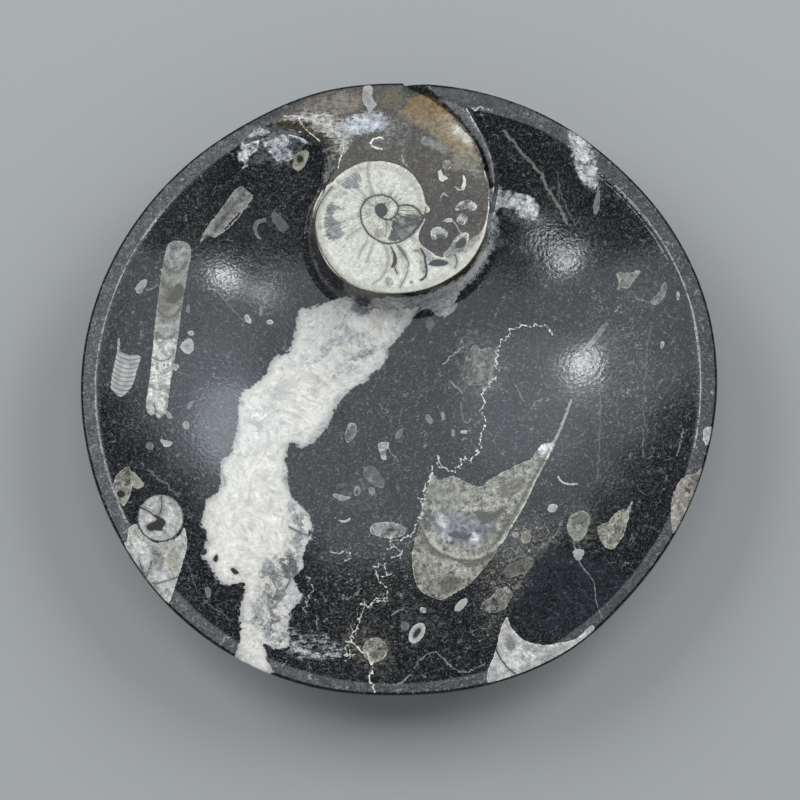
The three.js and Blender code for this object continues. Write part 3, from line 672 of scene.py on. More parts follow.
# Patches of colour in that stone, broken up at their edges: outline, colour, share, softness in mm
BLOOMS = [
    # a flush of pink-brown left of the head, olive and rust right of it, cream inwards, orange at the edge
    ([(300, 104), (320, 97), (345, 92), (362, 95), (360, 110), (340, 114), (318, 112), (300, 112)],
     (0.205, 0.168, 0.128), 0.7, 2.5),
    ([(378, 95), (388, 88), (400, 88), (404, 96), (398, 107), (386, 107), (378, 103)], (0.120, 0.108, 0.055),
     0.7, 2),
    ([(396, 112), (404, 106), (414, 100), (425, 97), (438, 103), (452, 117), (465, 130), (476, 146),
      (483, 166), (474, 168), (462, 172), (453, 168), (452, 156), (440, 145), (428, 133), (412, 124)],
     (0.220, 0.172, 0.095), 0.8, 1.8),
    ([(407, 103), (415, 95), (427, 96), (440, 104), (452, 116), (444, 122), (430, 116), (415, 112),
      (406, 111)], (0.215, 0.115, 0.022), 1, 1.9),
    ([(436, 118), (448, 114), (458, 124), (466, 133), (474, 148), (470, 152), (458, 146), (446, 134)],
     (0.36, 0.285, 0.180), 0.9, 1.0),
    ([(451, 127), (458, 126), (466, 133), (474, 144), (470, 146), (460, 138), (453, 133)], (0.70, 0.68, 0.60),
     1, 0.5),
    ([(420, 139), (428, 136), (440, 142), (450, 150), (444, 156), (434, 148), (424, 146)],
     (0.21, 0.215, 0.20), 0.8, 1),
    ([(452, 158), (464, 154), (478, 160), (484, 172), (478, 180), (468, 172), (456, 170)],
     (0.24, 0.235, 0.20), 0.6, 1.5),
    # bright sparry stone: the shoulder strip, the blue-white patch and what lies between them
    ([(246, 138), (262, 126), (285, 117), (300, 113), (318, 111), (330, 113), (344, 118), (352, 128),
      (352, 142), (346, 152), (339, 160), (333, 150), (330, 140), (318, 133), (306, 127), (292, 122),
      (276, 124)], (0.40, 0.375, 0.34), 0.62, 1.6),
    ([(292, 118), (305, 114), (325, 114), (338, 122), (346, 136), (341, 150), (331, 138), (314, 127),
      (300, 122)], (0.62, 0.60, 0.57), 0.62, 1.2),
    ([(344, 122), (350, 116), (362, 113), (378, 112), (390, 118), (384, 127), (374, 132), (362, 134),
      (352, 137), (345, 132)], (0.40, 0.42, 0.45), 0.8, 1.5),
    ([(348, 121), (356, 116), (366, 118), (368, 126), (358, 131), (350, 129)], (0.66, 0.68, 0.71), 0.8, 0.8),
    ([(368, 124), (376, 121), (384, 123), (384, 129), (374, 130)], (0.62, 0.66, 0.73), 0.9, 0.6),
    ([(386, 116), (398, 122), (396, 134), (388, 138), (380, 133)], (0.19, 0.19, 0.175), 0.6, 1.5),
    ([(362, 140), (384, 136), (396, 143), (386, 150), (368, 150)], (0.17, 0.165, 0.150), 0.5, 1.2),
    ([(396, 118), (412, 124), (410, 146), (406, 166), (398, 160), (394, 138)], (0.15, 0.148, 0.135), 0.45,
     1.2),
    ([(322, 150), (330, 148), (336, 158), (333, 172), (327, 184), (321, 178), (324, 164)], (0.26, 0.26, 0.25),
     0.55, 0.8),
    ([(334, 93), (345, 91), (350, 98), (344, 106), (336, 104)], (0.22, 0.21, 0.19), 0.7, 0.8),
    # painted sheen: the grey band of the groove's polished floor; then the flat top of the spur, rubbed grey
    ([(438, 97), (452, 102), (466, 111), (480, 132), (491, 156), (495, 184), (491, 178), (486, 158),
      (474, 136), (458, 116), (444, 103)], (0.20, 0.204, 0.21), 0.95, 0.7),
    ([(430, 88), (470, 90), (520, 100), (556, 112), (548, 118), (515, 108), (470, 104), (444, 97)],
     (0.065, 0.067, 0.069), 0.62, 0.8),
    # smudges of spar in the black stone
    ([(268, 216), (284, 210), (300, 220), (292, 240), (272, 240)], (0.10, 0.10, 0.10), 0.35, 2),
    ([(284, 626), (305, 630), (330, 633), (342, 645), (346, 656), (330, 662), (305, 662), (284, 652)],
     (0.50, 0.51, 0.52), 0.33, 1.6),
    ([(286, 644), (304, 648), (328, 652), (345, 656), (328, 659), (308, 658), (292, 652)], (0.58, 0.59, 0.60),
     0.52, 0.9),
    ([(488, 215), (496, 212), (500, 230), (494, 252), (478, 276), (468, 284), (476, 262), (486, 244)],
     (0.30, 0.305, 0.31), 0.62, 1.2),
    ([(503, 206), (530, 216), (540, 210), (545, 222), (520, 226), (505, 218)], (0.17, 0.175, 0.18), 0.5, 1.2),
    ([(240, 128), (275, 122), (300, 136), (298, 166), (270, 166), (245, 160)], (0.13, 0.135, 0.145), 0.5, 2),
    ([(560, 126), (585, 124), (602, 160), (604, 190), (585, 192), (570, 160)], (0.10, 0.10, 0.105), 0.45, 2),
    ([(492, 540), (515, 522), (545, 530), (540, 555), (515, 580), (500, 600), (486, 590)],
     (0.15, 0.142, 0.118), 0.28, 3),
    ([(455, 335), (500, 330), (505, 380), (490, 400), (460, 392)], (0.13, 0.13, 0.12), 0.38, 2.5),
    ([(340, 480), (370, 474), (392, 500), (360, 512), (338, 506)], (0.10, 0.10, 0.10), 0.36, 2),
    ([(366, 560), (396, 560), (392, 590), (366, 600), (352, 580)], (0.12, 0.118, 0.105), 0.16, 2),
    ([(340, 635), (370, 625), (395, 645), (392, 672), (360, 670)], (0.13, 0.125, 0.105), 0.42, 2.5),
    ([(395, 600), (440, 606), (448, 640), (410, 648)], (0.08, 0.08, 0.08), 0.35, 3),
    ([(575, 355), (600, 330), (622, 330), (610, 360), (585, 372)], (0.10, 0.10, 0.10), 0.35, 3),
    ([(570, 506), (596, 512), (592, 545), (572, 545)], (0.12, 0.118, 0.10), 0.40, 2),
    ([(615, 265), (645, 265), (668, 282), (662, 306), (626, 300)], (0.09, 0.09, 0.088), 0.38, 2.5),
]

# Soft shades in the shells and the calcite, each over the ones before it: outline, colour, share, softness
# in mm
SHADES = [
    # the coiled shell: two clear grey patches with fingers, what lies between them and the coil, and its
    # dark chamber
    ([(342, 188), (343, 181), (349, 176), (356, 172), (361, 176), (361, 183), (357, 189), (350, 189)],
     (0.25, 0.255, 0.245), 0.75, 0.9),
    ([(330, 198), (336, 192), (346, 190), (348, 193), (340, 199), (333, 204)], (0.33, 0.335, 0.31), 0.6, 0.7),
    ([(326, 206), (331, 202), (338, 206), (345, 208), (344, 211), (336, 211), (333, 216), (338, 221),
      (347, 220), (348, 223), (342, 226), (343, 231), (347, 233), (342, 238), (332, 241), (326, 236),
      (324, 222)], (0.23, 0.235, 0.225), 0.8, 0.8),
    ([(334, 196), (352, 190), (360, 200), (357, 215), (355, 232), (344, 236), (338, 214)], (0.50, 0.50, 0.46),
     0.35, 1.2),
    ([(364, 205), (372, 203), (374, 212), (370, 220), (364, 216)], (0.40, 0.395, 0.34), 0.5, 0.8),
    ([(373, 229), (382, 228), (384, 236), (378, 239), (373, 235)], (0.30, 0.295, 0.22), 0.7, 0.8),
    ([(393, 221), (400, 216), (410, 214), (421, 216), (424, 220), (417, 230), (408, 237), (397, 241),
      (388, 240), (391, 231)], (0.095, 0.088, 0.085), 0.95, 0.5),
    ([(402, 229), (410, 227), (417, 226), (410, 234), (401, 238), (398, 234)], (0.27, 0.27, 0.24), 0.8, 0.4),
    ([(398, 222), (403, 219), (405, 223), (400, 226)], (0.30, 0.29, 0.27), 0.7, 0.3),
    ([(393, 212), (398, 211), (404, 219), (400, 222), (394, 220)], (0.46, 0.455, 0.41), 0.8, 0.3),
    ([(397, 207), (404, 206), (412, 207), (418, 212), (416, 215), (406, 213), (399, 211)], (0.42, 0.42, 0.37),
     0.6, 0.4),
    ([(414, 206), (420, 209), (423, 215), (420, 217), (415, 212)], (0.30, 0.30, 0.27), 0.6, 0.3),
    # soft dips beside the folds below the coil, and the clear spar right of them
    ([(386, 246), (391, 248), (393, 258), (390, 268), (386, 264), (388, 256)], (0.40, 0.395, 0.34), 0.5, 0.6),
    ([(398, 251), (404, 258), (407, 268), (404, 276), (400, 268), (397, 258)], (0.42, 0.415, 0.36), 0.45,
     0.6),
    ([(414, 251), (421, 251), (424, 258), (426, 268), (424, 276), (419, 271), (418, 260)],
     (0.36, 0.355, 0.31), 0.6, 0.6),
    ([(426, 252), (433, 254), (435, 259), (428, 262), (425, 257)], (0.40, 0.40, 0.41), 0.7, 0.4),
    ([(446, 258), (455, 256), (461, 262), (455, 271), (447, 268)], (0.42, 0.415, 0.38), 0.5, 0.8),
    ([(430, 268), (438, 270), (446, 276), (438, 280), (430, 276)], (0.46, 0.455, 0.41), 0.4, 0.6),
    ([(385, 277), (391, 276), (394, 284), (390, 289), (384, 285)], (0.38, 0.38, 0.34), 0.7, 0.4),
    ([(409, 280), (413, 280), (414, 284), (410, 285)], (0.22, 0.22, 0.19), 0.7, 0.3),
    ([(472, 232), (482, 224), (484, 230), (478, 242), (468, 252), (462, 254), (466, 244)], (0.36, 0.35, 0.31),
     0.75, 0.5),
    ([(483, 176), (486, 176), (489, 200), (486, 222), (484, 222), (486, 200)], (0.46, 0.43, 0.37), 0.7, 0.3),
    # the vein: greyer and clearer near the head and down its right side
    ([(300, 310), (345, 298), (352, 326), (322, 366), (292, 374), (298, 340)], (0.60, 0.605, 0.60), 0.45, 4),
    ([(340, 338), (374, 326), (388, 342), (356, 378), (332, 378)], (0.36, 0.365, 0.365), 0.42, 4),
    ([(348, 294), (400, 294), (440, 290), (470, 280), (462, 300), (440, 316), (410, 312), (372, 312),
      (350, 316)], (0.30, 0.315, 0.325), 0.80, 2.5),
    ([(350, 294), (364, 296), (376, 306), (368, 316), (356, 308)], (0.15, 0.155, 0.16), 0.85, 1.2),
    ([(330, 300), (346, 300), (352, 316), (344, 332), (334, 318)], (0.42, 0.43, 0.435), 0.5, 1.6),
    ([(398, 306), (418, 312), (404, 332), (388, 352), (376, 370), (364, 374), (384, 342)],
     (0.30, 0.305, 0.31), 0.5, 3),
    ([(284, 500), (304, 506), (312, 528), (304, 556), (300, 600), (292, 612), (284, 600), (280, 560),
      (288, 528)], (0.26, 0.268, 0.275), 0.55, 4),
    ([(262, 560), (286, 560), (292, 610), (284, 648), (262, 646), (250, 620)], (0.25, 0.255, 0.26), 0.6, 4),
    ([(280, 556), (296, 558), (298, 572), (288, 580), (278, 572)], (0.12, 0.125, 0.13), 0.8, 1.2),
    ([(292, 580), (300, 590), (299, 602), (290, 606), (286, 592)], (0.50, 0.51, 0.52), 0.8, 1.5),
    ([(240, 590), (258, 600), (264, 640), (262, 676), (238, 664)], (0.40, 0.40, 0.39), 0.35, 3),
    ([(250, 400), (286, 396), (284, 430), (262, 446), (244, 436)], (0.62, 0.63, 0.62), 0.4, 4),
    ([(312, 360), (322, 344), (338, 335), (352, 338), (350, 346), (334, 348), (320, 362)],
     (0.40, 0.405, 0.405), 0.6, 0.8),
    ([(322, 332), (338, 320), (356, 330), (374, 335), (372, 343), (352, 342), (338, 331), (326, 338)],
     (0.48, 0.485, 0.485), 0.6, 0.8),
    ([(340, 352), (356, 350), (374, 346), (386, 338), (384, 350), (368, 358), (350, 362)],
     (0.34, 0.345, 0.35), 0.6, 0.9),
    ([(328, 378), (340, 366), (356, 364), (366, 368), (350, 374), (336, 384)], (0.40, 0.405, 0.41), 0.5, 0.9),
    ([(252, 596), (260, 598), (262, 616), (258, 632), (250, 622)], (0.36, 0.365, 0.37), 0.6, 0.8),
    ([(268, 590), (276, 592), (280, 612), (276, 634), (266, 628), (270, 608)], (0.16, 0.165, 0.17), 0.65,
     0.8),
    # the wide shell: dark stone in its top corner, clear crystals in its middle and coarse spar in its tip
    ([(430, 480), (446, 484), (462, 492), (470, 504), (452, 506), (436, 506), (426, 498)],
     (0.25, 0.245, 0.215), 0.6, 1.5),
    ([(500, 486), (514, 478), (526, 476), (524, 488), (512, 496), (500, 498)], (0.17, 0.16, 0.125), 0.7, 1.0),
    ([(540, 446), (554, 443), (550, 454), (545, 460), (539, 454)], (0.66, 0.66, 0.62), 0.9, 0.8),
    ([(434, 513), (448, 508), (466, 512), (484, 522), (497, 516), (494, 528), (484, 538), (476, 545),
      (456, 544), (440, 536), (432, 524)], (0.22, 0.222, 0.23), 0.95, 1.0),
    ([(437, 516), (443, 514), (449, 521), (447, 528), (440, 526)], (0.55, 0.56, 0.575), 0.8, 0.7),
    ([(469, 534), (475, 532), (480, 538), (477, 543), (469, 541)], (0.60, 0.605, 0.61), 0.9, 0.5),
    ([(443, 532), (452, 538), (450, 544), (442, 540)], (0.50, 0.505, 0.52), 0.7, 0.5),
    ([(474, 528), (488, 526), (496, 528), (490, 536), (480, 534)], (0.12, 0.125, 0.14), 0.8, 0.7),
    ([(486, 534), (498, 530), (503, 534), (498, 543), (488, 548), (480, 548)], (0.22, 0.215, 0.17), 0.7, 0.7),
    ([(424, 540), (436, 550), (452, 559), (474, 562), (494, 553), (490, 562), (466, 568), (440, 560),
      (424, 550)], (0.17, 0.15, 0.13), 0.7, 0.8),
    ([(416, 556), (428, 556), (440, 568), (430, 578), (416, 572)], (0.40, 0.40, 0.33), 0.6, 1.2),
    ([(416, 558), (440, 567), (470, 572), (490, 560), (478, 576), (455, 592), (432, 596), (418, 580)],
     (0.25, 0.24, 0.20), 0.5, 1.5),
    ([(440, 580), (452, 576), (460, 584), (454, 592), (442, 594)], (0.13, 0.12, 0.10), 0.7, 0.7),
    ([(446, 560), (456, 560), (464, 568), (456, 574), (446, 570)], (0.44, 0.42, 0.41), 0.6, 0.7),
    # the long straight shell is dark and clear above its middle, cream below
    ([(150, 345), (178, 345), (166, 408), (156, 416), (147, 402)], (0.60, 0.595, 0.555), 0.8, 2.5),
    ([(163, 262), (188, 262), (184, 300), (178, 320), (158, 320)], (0.26, 0.255, 0.225), 0.7, 2.0),
    ([(158, 290), (172, 292), (174, 310), (164, 316), (156, 304)], (0.17, 0.15, 0.12), 0.6, 1.5),
    ([(168, 244), (190, 249), (188, 260), (166, 260)], (0.33, 0.34, 0.34), 0.6, 1.5),
    # the second straight shell: frosted at its wide end
    ([(238, 188), (252, 198), (242, 208), (232, 200)], (0.28, 0.29, 0.30), 0.6, 1.2),
    ([(206, 234), (216, 236), (203, 243)], (0.10, 0.10, 0.09), 0.6, 0.6),
    # the circle's core and the cone below it
    (oval(160, 511, 20, 16), (0.30, 0.29, 0.26), 0.6, 1.5),
    ([(146, 500), (152, 497), (156, 503), (150, 510), (144, 508)], (0.62, 0.62, 0.60), 0.6, 0.8),
    ([(168, 524), (178, 516), (180, 526), (170, 534)], (0.52, 0.515, 0.47), 0.6, 1.0),
    ([(150, 545), (160, 548), (166, 562), (160, 574), (152, 566)], (0.24, 0.24, 0.22), 0.7, 1.5),
    ([(166, 552), (176, 548), (176, 566), (168, 572)], (0.33, 0.31, 0.24), 0.6, 1.0),
    ([(128, 533), (140, 532), (148, 548), (140, 556), (130, 546)], (0.55, 0.54, 0.49), 0.6, 1.5),
    # the crescent's clear spots
    ([(506, 632), (516, 638), (514, 648), (504, 646)], (0.24, 0.235, 0.21), 0.6, 1.2),
    ([(520, 652), (540, 650), (536, 660), (520, 664)], (0.58, 0.575, 0.55), 0.6, 1.5),
]

# How the markings are laid on: how far in pixels each kind is felt, and the ground colours under them all
OUTLINE_STEP = 3
REACH, SOFT_REACH, GROUND_REACH = 8.0, 20.0, 40.0
OUTSIDE = -PIXEL * REACH
BLACK_STONE = (0.0086, 0.0096, 0.0118, 0.38)
GREY = (0.2, 0.2, 0.2)
DIM_GREY = (0.1, 0.1, 0.1)
THREAD_GRAIN = 0.3
CHAMBER_BEND = 1.3
BLOOM_HOLD = 0.6
LINE_STEP, LINE_STEP_RAGGED, LINE_SHAKE = 1.4, 1.1, 1.35
INK_ROUGHNESS = 0.12
INK_SEED = 100


def depth_at(pixels, line, reach, width=None):
    """How deep each pixel place lies inside a closed line, or in an open line of a width, in mm."""
    depth = np.full(len(pixels), -PIXEL * reach)
    near = ((pixels > line.min(0) - reach) & (pixels < line.max(0) + reach)).all(axis=1)
    gap, _ = along_line(pixels[near], line, closed=width is None)
    inwards = np.where(within(pixels[near], line), gap, -gap) if width is None else width / 2 - gap
    depth[near] = PIXEL * inwards
    return depth


def depth_inside(pixels, outline, reach=REACH):
    """How deep each pixel place lies inside a smooth outline, in mm: below zero outside it."""
    return depth_at(pixels, curve_through(outline, OUTLINE_STEP, closed=True), reach)


def ragged(points, roughness, seed):
    """A thin line drawn through points, shaken sideways where it is ragged."""
    line = curve_through(points, LINE_STEP + LINE_STEP_RAGGED * roughness)
    shake = np.random.default_rng(seed).normal(0, LINE_SHAKE * roughness, line.shape)
    shake[0] = shake[-1] = 0
    return line + shake


threads = [
    (ragged(points, roughness, seed), width, colour)
    for seed, (points, width, colour, roughness) in enumerate(THREADS)
]
inks = [
    (ragged(points, INK_ROUGHNESS, INK_SEED + seed), width, colour)
    for seed, (points, width, colour) in enumerate(DARK_LINES)
]


def mixed(colours, share, colour):
    """Colours, each moved towards one colour by its own share."""
    return colours + share[:, None] * (np.array(colour) - colours)


def soft_patches(pixels, patches, start, held):
    """Colour and share of soft patches at each place. How firmly the earlier ones hold is given by held."""
    laid = np.tile((*start, 0.0), (len(pixels), 1))
    for outline, colour, share, softness in patches:
        weight = share * smoothstep(depth_inside(pixels, outline, SOFT_REACH), -softness, softness)
        over = weight / np.maximum(weight + held(weight) * laid[:, 3], TINY)
        laid[:, :3] = mixed(laid[:, :3], over, colour)
        laid[:, 3] = np.maximum(laid[:, 3], weight)
    return laid


def painted(pixels):
    """The markings at places in the frame: depth inside each kind of marking, and colours."""
    count = len(pixels)
    cover = np.full(count, OUTSIDE)
    tone = np.tile((*GREY, THREAD_GRAIN), (count, 1))
    stripe = np.zeros(count)
    for outline, colour, grain, *chambers in SHELLS:
        depth = depth_inside(pixels, outline)
        wins = (depth > cover) | (depth > 0)
        tone[wins] = (*colour, grain)
        cover = np.maximum(cover, depth)
        if chambers:
            number, first, last = chambers
            start, run = np.array(first), np.array(last) - first
            share = (pixels - start) @ run / (run @ run)
            aside = (pixels - start) @ (-run[1], run[0]) / (run @ run)
            stripe[wins] = (number * (share + CHAMBER_BEND * aside**2))[wins]
    for line, width, colour in threads:
        depth = depth_at(pixels, line, REACH, width)
        wins = depth > np.minimum(cover, 0)
        tone[wins] = (*colour, THREAD_GRAIN)
        cover = np.maximum(cover, depth)

    ink = np.full(count, OUTSIDE)
    ink_tone = np.tile((*INK, 1), (count, 1))
    dark = [(depth_inside(pixels, outline), colour) for outline, colour in DARK_AREAS]
    dark += [(depth_at(pixels, line, REACH, width), colour) for line, width, colour in inks]
    for depth, colour in dark:
        ink_tone[depth > ink] = (*colour, 1)
        ink = np.maximum(ink, depth)

    ground = np.tile(BLACK_STONE, (count, 1))
    for outline, colour, share, softness, specks in GROUND:
        weight = share * smoothstep(depth_inside(pixels, outline, GROUND_REACH), -softness, softness)
        ground = mixed(ground, weight, (*colour, specks))
    return {
        "bloom": soft_patches(pixels, BLOOMS, DIM_GREY, lambda weight: BLOOM_HOLD),
        "calcite": depth_inside(pixels, VEIN),
        "cover": cover,
        "tone": tone,
        "stripe": stripe,
        "shade": soft_patches(pixels, SHADES, GREY, lambda weight: 1 - weight),
        "ink": ink,
        "ink_tone": ink_tone,
        "ground": ground,
    }


SIGHT_STEPS = 6


def on_dish(pixels):
    """Where the lines of sight through frame pixels meet the dish, seen from above, in mm."""
    right, down = ((pixels - FRAME_SIZE / 2) * SENSOR / (FRAME_SIZE * LENS)).T
    rays = np.array(sight) + right[:, None] * np.array((1, 0, 0)) - down[:, None] * np.array(upward)
    height = np.full(len(pixels), HEIGHT - BOWL_DEPTH / 2)
    for _ in range(SIGHT_STEPS):
        reach = (height - eye.z / MM) / rays[:, 2]
        places = (np.array(eye) / MM + rays * reach[:, None])[:, :2]
        height, _ = upper_face(places)
    return places


# The plan of the dish's upper face, ground and polished in one: rings along the rim and the lip, the carver's
# creases and the thin lines, and between them a lattice of triangles at three spacings, FINE, twice FINE and
# four times FINE. It is fine at the edges of the markings and coarse in the plain black stone.
RIM_POINTS = 720
RIM_LINE = 0.3
FINE = 0.46
FINE_REACH = 0.75
MIDDLING_REACH = 3.0
CLEARANCE = 0.55 * FINE
OFFSET_KEPT = 0.9
LATTICE_REACH = 260
HEAD_BACK = 100
GROOVE_SHADE_STEP = 1.5
EDGE_OFFSETS = [-0.3, -0.15, -0.05, 0, 0.12, 0.9, 1.1, 1.4, 1.8, 2.3, 3.0, 3.9]
LIP_OFFSETS = [-1.7, -1.4, -1.1, -0.7, -0.3, -0.1, 0.1, 0.4, 0.9]


def beside(line, offset):
    """A line's copy, moved out from the block by an offset, without what comes too near the line."""
    run = np.gradient(line, axis=0)
    out = np.stack([run[:, 1], -run[:, 0]], axis=1) / np.linalg.norm(run, axis=1)[:, None]
    moved = line - offset * out
    gap, _ = along_line(moved, line)
    return moved[gap > OFFSET_KEPT * abs(offset)]


angles = np.arange(RIM_POINTS) * tau / RIM_POINTS
turns = np.stack([np.cos(angles), np.sin(angles)], axis=1)
rim_reach = radius_at(EDGE_STATIONS, angles) * (1 - EDGE_CHAMFER / EDGE_RADIUS)


def rim_towards(places):
    """Radius of the mesh's rim in the direction of each place."""
    heading = np.mod(np.arctan2(places[:, 1], places[:, 0]), tau)
    return np.interp(heading, np.append(angles, tau), np.append(rim_reach, rim_reach[0]))


rim_ring = turns * rim_reach[:, None]
fixed = [rim_ring, rim_ring * (1 - RIM_LINE / EDGE_RADIUS)]
fixed += [turns * (radius_at(LIP_STATIONS, angles) + offset)[:, None] for offset in LIP_OFFSETS]
fixed += [beside(block_edge, offset) for offset in EDGE_OFFSETS]
fixed += [shoulder_top, groove_wall, groove_wall + (0.25, 0.12)]
# mesh lines along the edge of the painted shadow in the groove
groove_shade_edge = curve_through(GROOVE_SHADE, GROOVE_SHADE_STEP)
fixed += [on_dish(groove_shade_edge + (shift, -shift / 2)) for shift in (-0.6, 0.6)]
fixed += [on_dish(line) for line, _, _ in threads + inks]
fixed = np.vstack(fixed)
fixed = fixed[np.linalg.norm(fixed, axis=1) < rim_towards(fixed) + TINY]

rows = np.arange(-LATTICE_REACH, LATTICE_REACH + 1)
step = np.array([FINE, FINE * 3**0.5 / 2])
across, along = np.meshgrid(rows, rows)
lattice = np.stack([(across + (along % 2) / 2) * step[0], along * step[1]], axis=2).reshape(-1, 2)
on_twice, on_four_times = (
    ((along % times == 0) & ((across + along // 2) % times == 0)).reshape(-1) for times in (2, 4)
)
inner = np.linalg.norm(lattice, axis=1) < rim_towards(lattice) - FINE
lattice, on_twice, on_four_times = lattice[inner], on_twice[inner], on_four_times[inner]

heights, to_block = upper_face(lattice)
marks = painted(on_frame(np.column_stack([lattice, heights])))
edge_gap = np.minimum.reduce([abs(marks["calcite"]), abs(marks["cover"]), abs(marks["ink"])])
in_head = (to_block < 0) & (lattice[:, 1] < HEAD_BACK)
wanted = on_four_times | (on_twice & ((edge_gap < MIDDLING_REACH) | in_head)) | (edge_gap < FINE_REACH)
lattice = lattice[wanted]
tree = KDTree(len(fixed))
for number, (x, y) in enumerate(fixed):
    tree.insert((x, y, 0), number)
tree.balance()
clear = np.array([tree.find((x, y, 0))[2] for x, y in lattice]) > CLEARANCE
lattice = lattice[clear]

plan = [Vector(place) for place in np.vstack([fixed, lattice])]
rim_edges = [(i, (i + 1) % RIM_POINTS) for i in range(RIM_POINTS)]
WITH_OUTLINE, JOIN_WITHIN = 1, 1e-3
plan, _, faces, *_ = delaunay_2d_cdt(plan, rim_edges, [], WITH_OUTLINE, JOIN_WITHIN, False)
plan = np.array([tuple(place) for place in plan])
heights, _ = upper_face(plan)
places = np.column_stack([plan, heights])

plate_mesh = bpy.data.meshes.new("plate")
plate_mesh.from_pydata(places * MM, [], faces)
plate = bpy.data.objects.new("polished_plate", plate_mesh)
bpy.context.scene.collection.objects.link(plate)

# Side and underside: the same stone, rubbed and not polished, swelling from an upright band down to a flat
# ground foot. The rim's edge is drawn down and in, ring by ring, and closed at the foot's middle.
SIDE_STEPS = 10
FOOT_RINGS = [45, 25, 10, 2]
SMOOTH_UP_TO = radians(40)
start = np.array((EDGE_RADIUS - EDGE_LEAN, HEIGHT - EDGE_BAND))
bend = np.array(((FOOT_RADIUS + EDGE_RADIUS) / 2 + 2 * UNDERSIDE_BULGE, HEIGHT / 2 - 2 * UNDERSIDE_BULGE))
end = np.array((FOOT_RADIUS + FOOT_CHAMFER, FOOT_CHAMFER))
profile = [(EDGE_RADIUS - EDGE_CHAMFER / 3, HEIGHT - EDGE_CHAMFER / 4), (EDGE_RADIUS, HEIGHT - EDGE_CHAMFER)]
for t in np.linspace(0, 1, SIDE_STEPS):
    profile.append(tuple(start * (1 - t) ** 2 + 2 * bend * t * (1 - t) + end * t * t))
profile += [(FOOT_RADIUS, 0)] + [(foot_ring, 0) for foot_ring in FOOT_RINGS]

bpy.ops.object.select_all(action="DESELECT")
bpy.context.view_layer.objects.active = plate
plate.select_set(True)
bpy.ops.object.mode_set(mode="EDIT")
bpy.ops.mesh.select_mode(type="EDGE")
bpy.ops.mesh.select_all(action="DESELECT")
bpy.ops.mesh.select_non_manifold()
ring_radius, ring_height = EDGE_RADIUS - EDGE_CHAMFER, HEIGHT
for next_radius, next_height in profile:
    bpy.ops.mesh.extrude_edges_move()
    scale = next_radius / ring_radius
    if next_height > HEIGHT - EDGE_BAND:
        bpy.ops.transform.resize(value=(scale, scale, 1), center_override=(0, 0, 0))
        bpy.ops.transform.translate(value=(0, 0, (next_height - ring_height) * MM))
    else:
        bpy.ops.transform.resize(value=(scale, scale, 0), center_override=(0, 0, next_height * MM))
    ring_radius, ring_height = next_radius, next_height
bpy.ops.mesh.merge(type="CENTER")
bpy.ops.mesh.select_all(action="SELECT")
bpy.ops.mesh.normals_make_consistent(inside=False)
bpy.ops.object.mode_set(mode="OBJECT")


def from_lowest(face):
    """A face's corners in their order round it, from the lowest number on."""
    first = face.index(min(face))
    return face[first:] + face[:first]


# the drawn rings' faces come in another order each time, so the mesh is laid down again with all in order
points = [tuple(vertex.co) for vertex in plate_mesh.vertices]
faces = sorted(from_lowest(list(face.vertices)) for face in plate_mesh.polygons)
plate_mesh.clear_geometry()
plate_mesh.from_pydata(points, [], faces)
bpy.ops.object.shade_smooth_by_angle(angle=SMOOTH_UP_TO)

# What each corner of the mesh shows. The rim is sawn and only rubbed, so it is greyer and duller than the
# bowl. Its outer corner and the top of the upright band below it are painted near black, as shade. The
# head's upright front wall and all else below the rim show the plain stone, with the calcite, which runs down
# through the slab.
SLACK = 0.1
WALL_FROM, WALL_TO = 0.06, 1.3
RIM_FROM_BLOCK = 1
RIM_STONE = (0.0105, 0.0106, 0.0108)
RIM_PALENESS, RIM_PALER_LEFT = 1.5, 1.6
SIDE_STONE = (0.016, 0.017, 0.018, 0.4)
CORNER_SHADE = (0.003, 0.0032, 0.0036, 0.05)
SATIN_FROM, SATIN_TO, SATIN_FROM_BLOCK = -0.1, 0.5, -0.5
CORNER_SATIN = 0.1
HIGHLIGHT_WIDTH = 0.22
SECOND_LINE, SECOND_SHARE = 1.4, 0.8


def seen_towards(degrees, low, high):
    """Share of an arc of the rim about a direction: 0 where the cosine to it is below low, 1 above high."""
    return smoothstep(np.cos(around - radians(degrees)), low, high)


def lip_highlight_line(inwards):
    """A thin painted highlight that follows the lip, some way inwards of it."""
    return np.exp(-(((beyond_lip + inwards) / HIGHLIGHT_WIDTH) ** 2))


count = len(plate_mesh.vertices)
corners = np.zeros(count * 3)
plate_mesh.vertices.foreach_get("co", corners)
corners = corners.reshape(-1, 3) / MM
top_height, to_block = upper_face(corners[:, :2])
around = np.arctan2(corners[:, 1], corners[:, 0])
reach = np.hypot(*corners[:, :2].T)
below = corners[:, 2] < top_height - SLACK
marks = painted(on_frame(np.where(below[:, None], corners * (1, 1, 0) + (0, 0, HEIGHT), corners)))
on_wall = ~below & (to_block > WALL_FROM) & (to_block < WALL_TO)
for name in ("cover", "ink"):
    marks[name][below | on_wall] = OUTSIDE
for name in ("shade", "bloom"):
    marks[name][below, 3] = 0
beyond_lip = reach - radius_at(LIP_STATIONS, around)
open_rim = ~below & (beyond_lip > 0) & (to_block > RIM_FROM_BLOCK)
paler_left = 0.5 + 0.5 * np.cos(around - radians(170))
rim_light = RIM_PALENESS + RIM_PALER_LEFT * paler_left[open_rim]
marks["ground"][open_rim, :3] = RIM_STONE * rim_light[:, None]
marks["ground"][below] = SIDE_STONE
near_edge = reach > radius_at(EDGE_STATIONS, around) - EDGE_CHAMFER - SLACK
at_corner = (corners[:, 2] > HEIGHT - EDGE_BAND) & (below | near_edge)
# painted shade: the outer corner and the top of the upright band below it, near black
marks["ground"][at_corner] = CORNER_SHADE
rubbed = smoothstep(beyond_lip, SATIN_FROM, SATIN_TO) * (to_block > SATIN_FROM_BLOCK)
marks["satin"] = np.where(below, 1.0, rubbed)
marks["satin"][at_corner] = CORNER_SATIN
